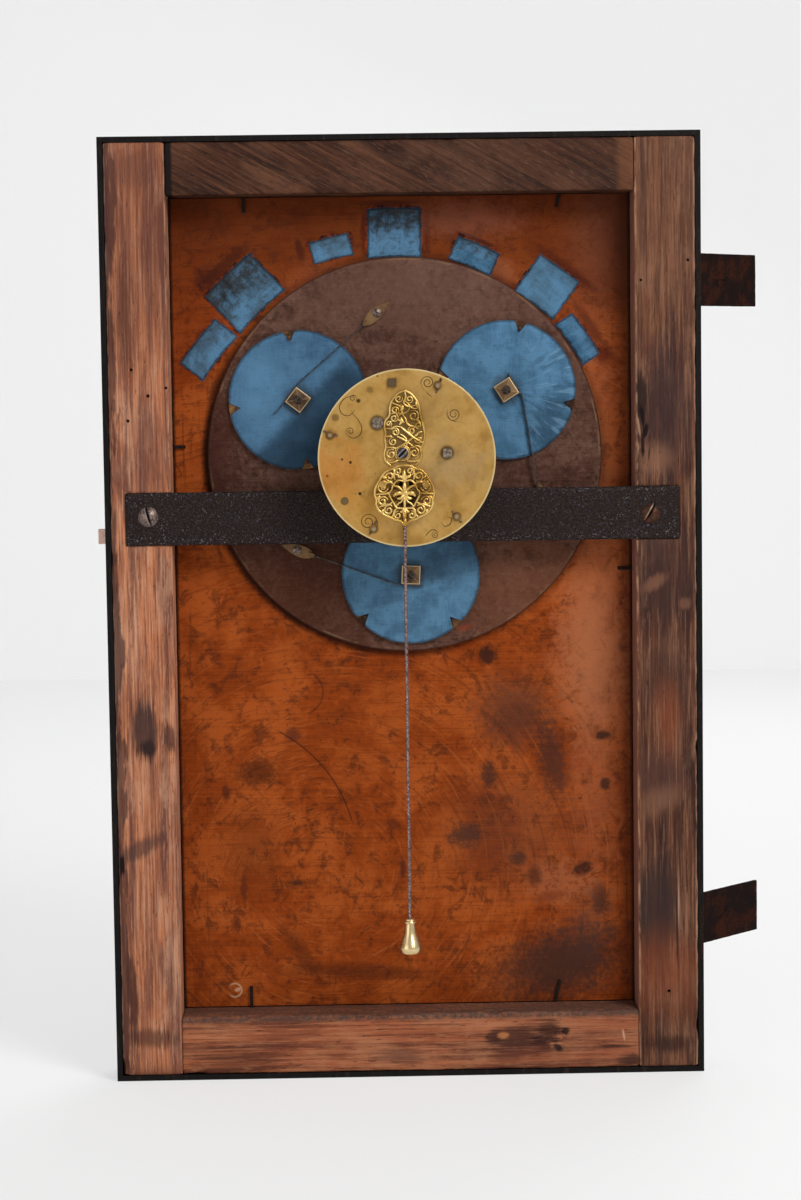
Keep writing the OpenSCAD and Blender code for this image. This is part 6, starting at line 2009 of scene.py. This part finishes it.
# %% Twisted rod and turned bob
twist = Growth(
    "twisted_wires",
    Top="Vector",
    Foot="Vector",
    Offset="Float",
    Wire="Float",
    Turns="Float",
    Finish="Material",
)
wires = []
line = twist.add(
    "GeometryNodeCurvePrimitiveLine",
    {"mode": "POINTS"},
    {"Start": twist.given("Top"), "End": twist.given("Foot")},
)
line = twist.add("GeometryNodeResampleCurve", {"mode": "COUNT"}, {"Curve": line, "Count": 620})
share = twist.add("GeometryNodeSplineParameter")
wire_profile = twist.add(
    "GeometryNodeCurvePrimitiveCircle", {}, {"Resolution": 7, "Radius": twist.given("Wire")}
)
for start in (0.0, math.pi):
    angle = share * twist.given("Turns") * (2 * math.pi) + start
    across = twist.add("ShaderNodeMath", {"operation": "COSINE"}, {0: angle}) * twist.given("Offset")
    inward = twist.add("ShaderNodeMath", {"operation": "SINE"}, {0: angle}) * twist.given("Offset")
    offset = twist.add("ShaderNodeCombineXYZ", {}, {0: across, 1: inward, 2: 0.0})
    helix = twist.add("GeometryNodeSetPosition", {}, {"Geometry": line, "Offset": offset})
    swept_wire = {"Curve": helix, "Profile Curve": wire_profile, "Fill Caps": True}
    wires.append(twist.add("GeometryNodeCurveToMesh", {}, swept_wire))
joined = twist.tree.nodes.new("GeometryNodeJoinGeometry")
for wire in wires:
    twist.tree.links.new(wire.out, joined.inputs["Geometry"])
twist.end(Socket(twist, joined.outputs["Geometry"]))

# %% The rod
rod_low, rod_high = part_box("pendulum_rod")
rod_x, rod_y = (rod_low.x + rod_high.x) / 2, (rod_low.y + rod_high.y) / 2
ROD_R = (rod_high.x - rod_low.x) / 2
rod = plain_mesh("twisted_rod", [(0, 0, 0)], [])
twist.run(
    rod,
    Top=(rod_x, rod_y, rod_high.z),
    Foot=(rod_x, rod_y, rod_low.z),
    Offset=ROD_R * 0.45,
    Wire=ROD_R * 0.55,
    Turns=58.0,
    Finish=rod_steel.material,
)
dressed(rod, rod_steel, "pendulum", "rod_steel", "pendulum_rod", smooth=70)

# %% The bob
bob_low, bob_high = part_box("pendulum_bob")
BOB_H = (bob_high.z - bob_low.z) / MM
BOB_R = (bob_high.x - bob_low.x) / 2 / MM
bob_sketch = [
    (0.3, 0.0),
    (0.38, 0.01),
    (0.78, 0.03),
    (0.95, 0.09),
    (1.0, 0.16),
    (0.99, 0.22),
    (0.9, 0.31),
    (0.74, 0.44),
    (0.58, 0.58),
    (0.48, 0.72),
    (0.43, 0.82),
    (0.42, 0.86),
    (0.55, 0.88),
    (0.57, 0.905),
    (0.52, 0.93),
    (0.42, 0.945),
    (0.43, 0.98),
    (0.36, 1.0),
]
bob_outline = [(r * BOB_R, d * BOB_H) for r, d in smooth_line(bob_sketch, 4)]
bob = turned("turned_bob", (rod_x, rod_y, bob_low.z), (0, 0, 1), bob_outline, 64)
dressed(bob, bob_brass, "pendulum", "bob_brass", "pendulum_bob", smooth=50)
print("bob", round(BOB_H, 1), "mm high")

# %% [markdown]
# ## The train
# The wheels, arbors, barrel and fusee sit between the two plates. Their CAD shapes are right, down to the
# teeth, so they only get finishes. `finish_part` puts a material on every slot of a CAD part and leaves
# its mesh alone.

# %% Finishes on the train
def finish_part(node, finish):
    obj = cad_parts[node]
    if not obj.material_slots:
        obj.data.materials.append(finish.material)
    for slot in obj.material_slots:
        slot.material = finish.material


gut = Finish("gut_line", roughness=0.55)
gut_lay = gut.noise((0.3, 0.3, 1.2), detail=2)
gut.set(
    Base_Color=gut.mix(gut_lay, colour("8a6a3c"), colour("c3a56c")),
    Roughness=0.45 + gut_lay * 0.2,
    Normal=gut.bump(gut_lay, 0.05),
)
for finish, nodes in (
    (brass, ("great_wheel", "fusee", "barrel", "third_wheel", "contrate_wheel")),
    (brass, ("crown_wheel", "centre_wheel", "potences")),
    (arbor_steel, ("barrel_arbor", "fusee_arbor")),
    (steel, ("carrier_arbor", "mainspring", "verge")),
    (gut, ("fusee_line",)),
):
    for node in nodes:
        finish_part(node, finish)

left_plain = [n for n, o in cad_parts.items() if not o.hide_render]
print("CAD parts kept as they are:", sorted(left_plain))
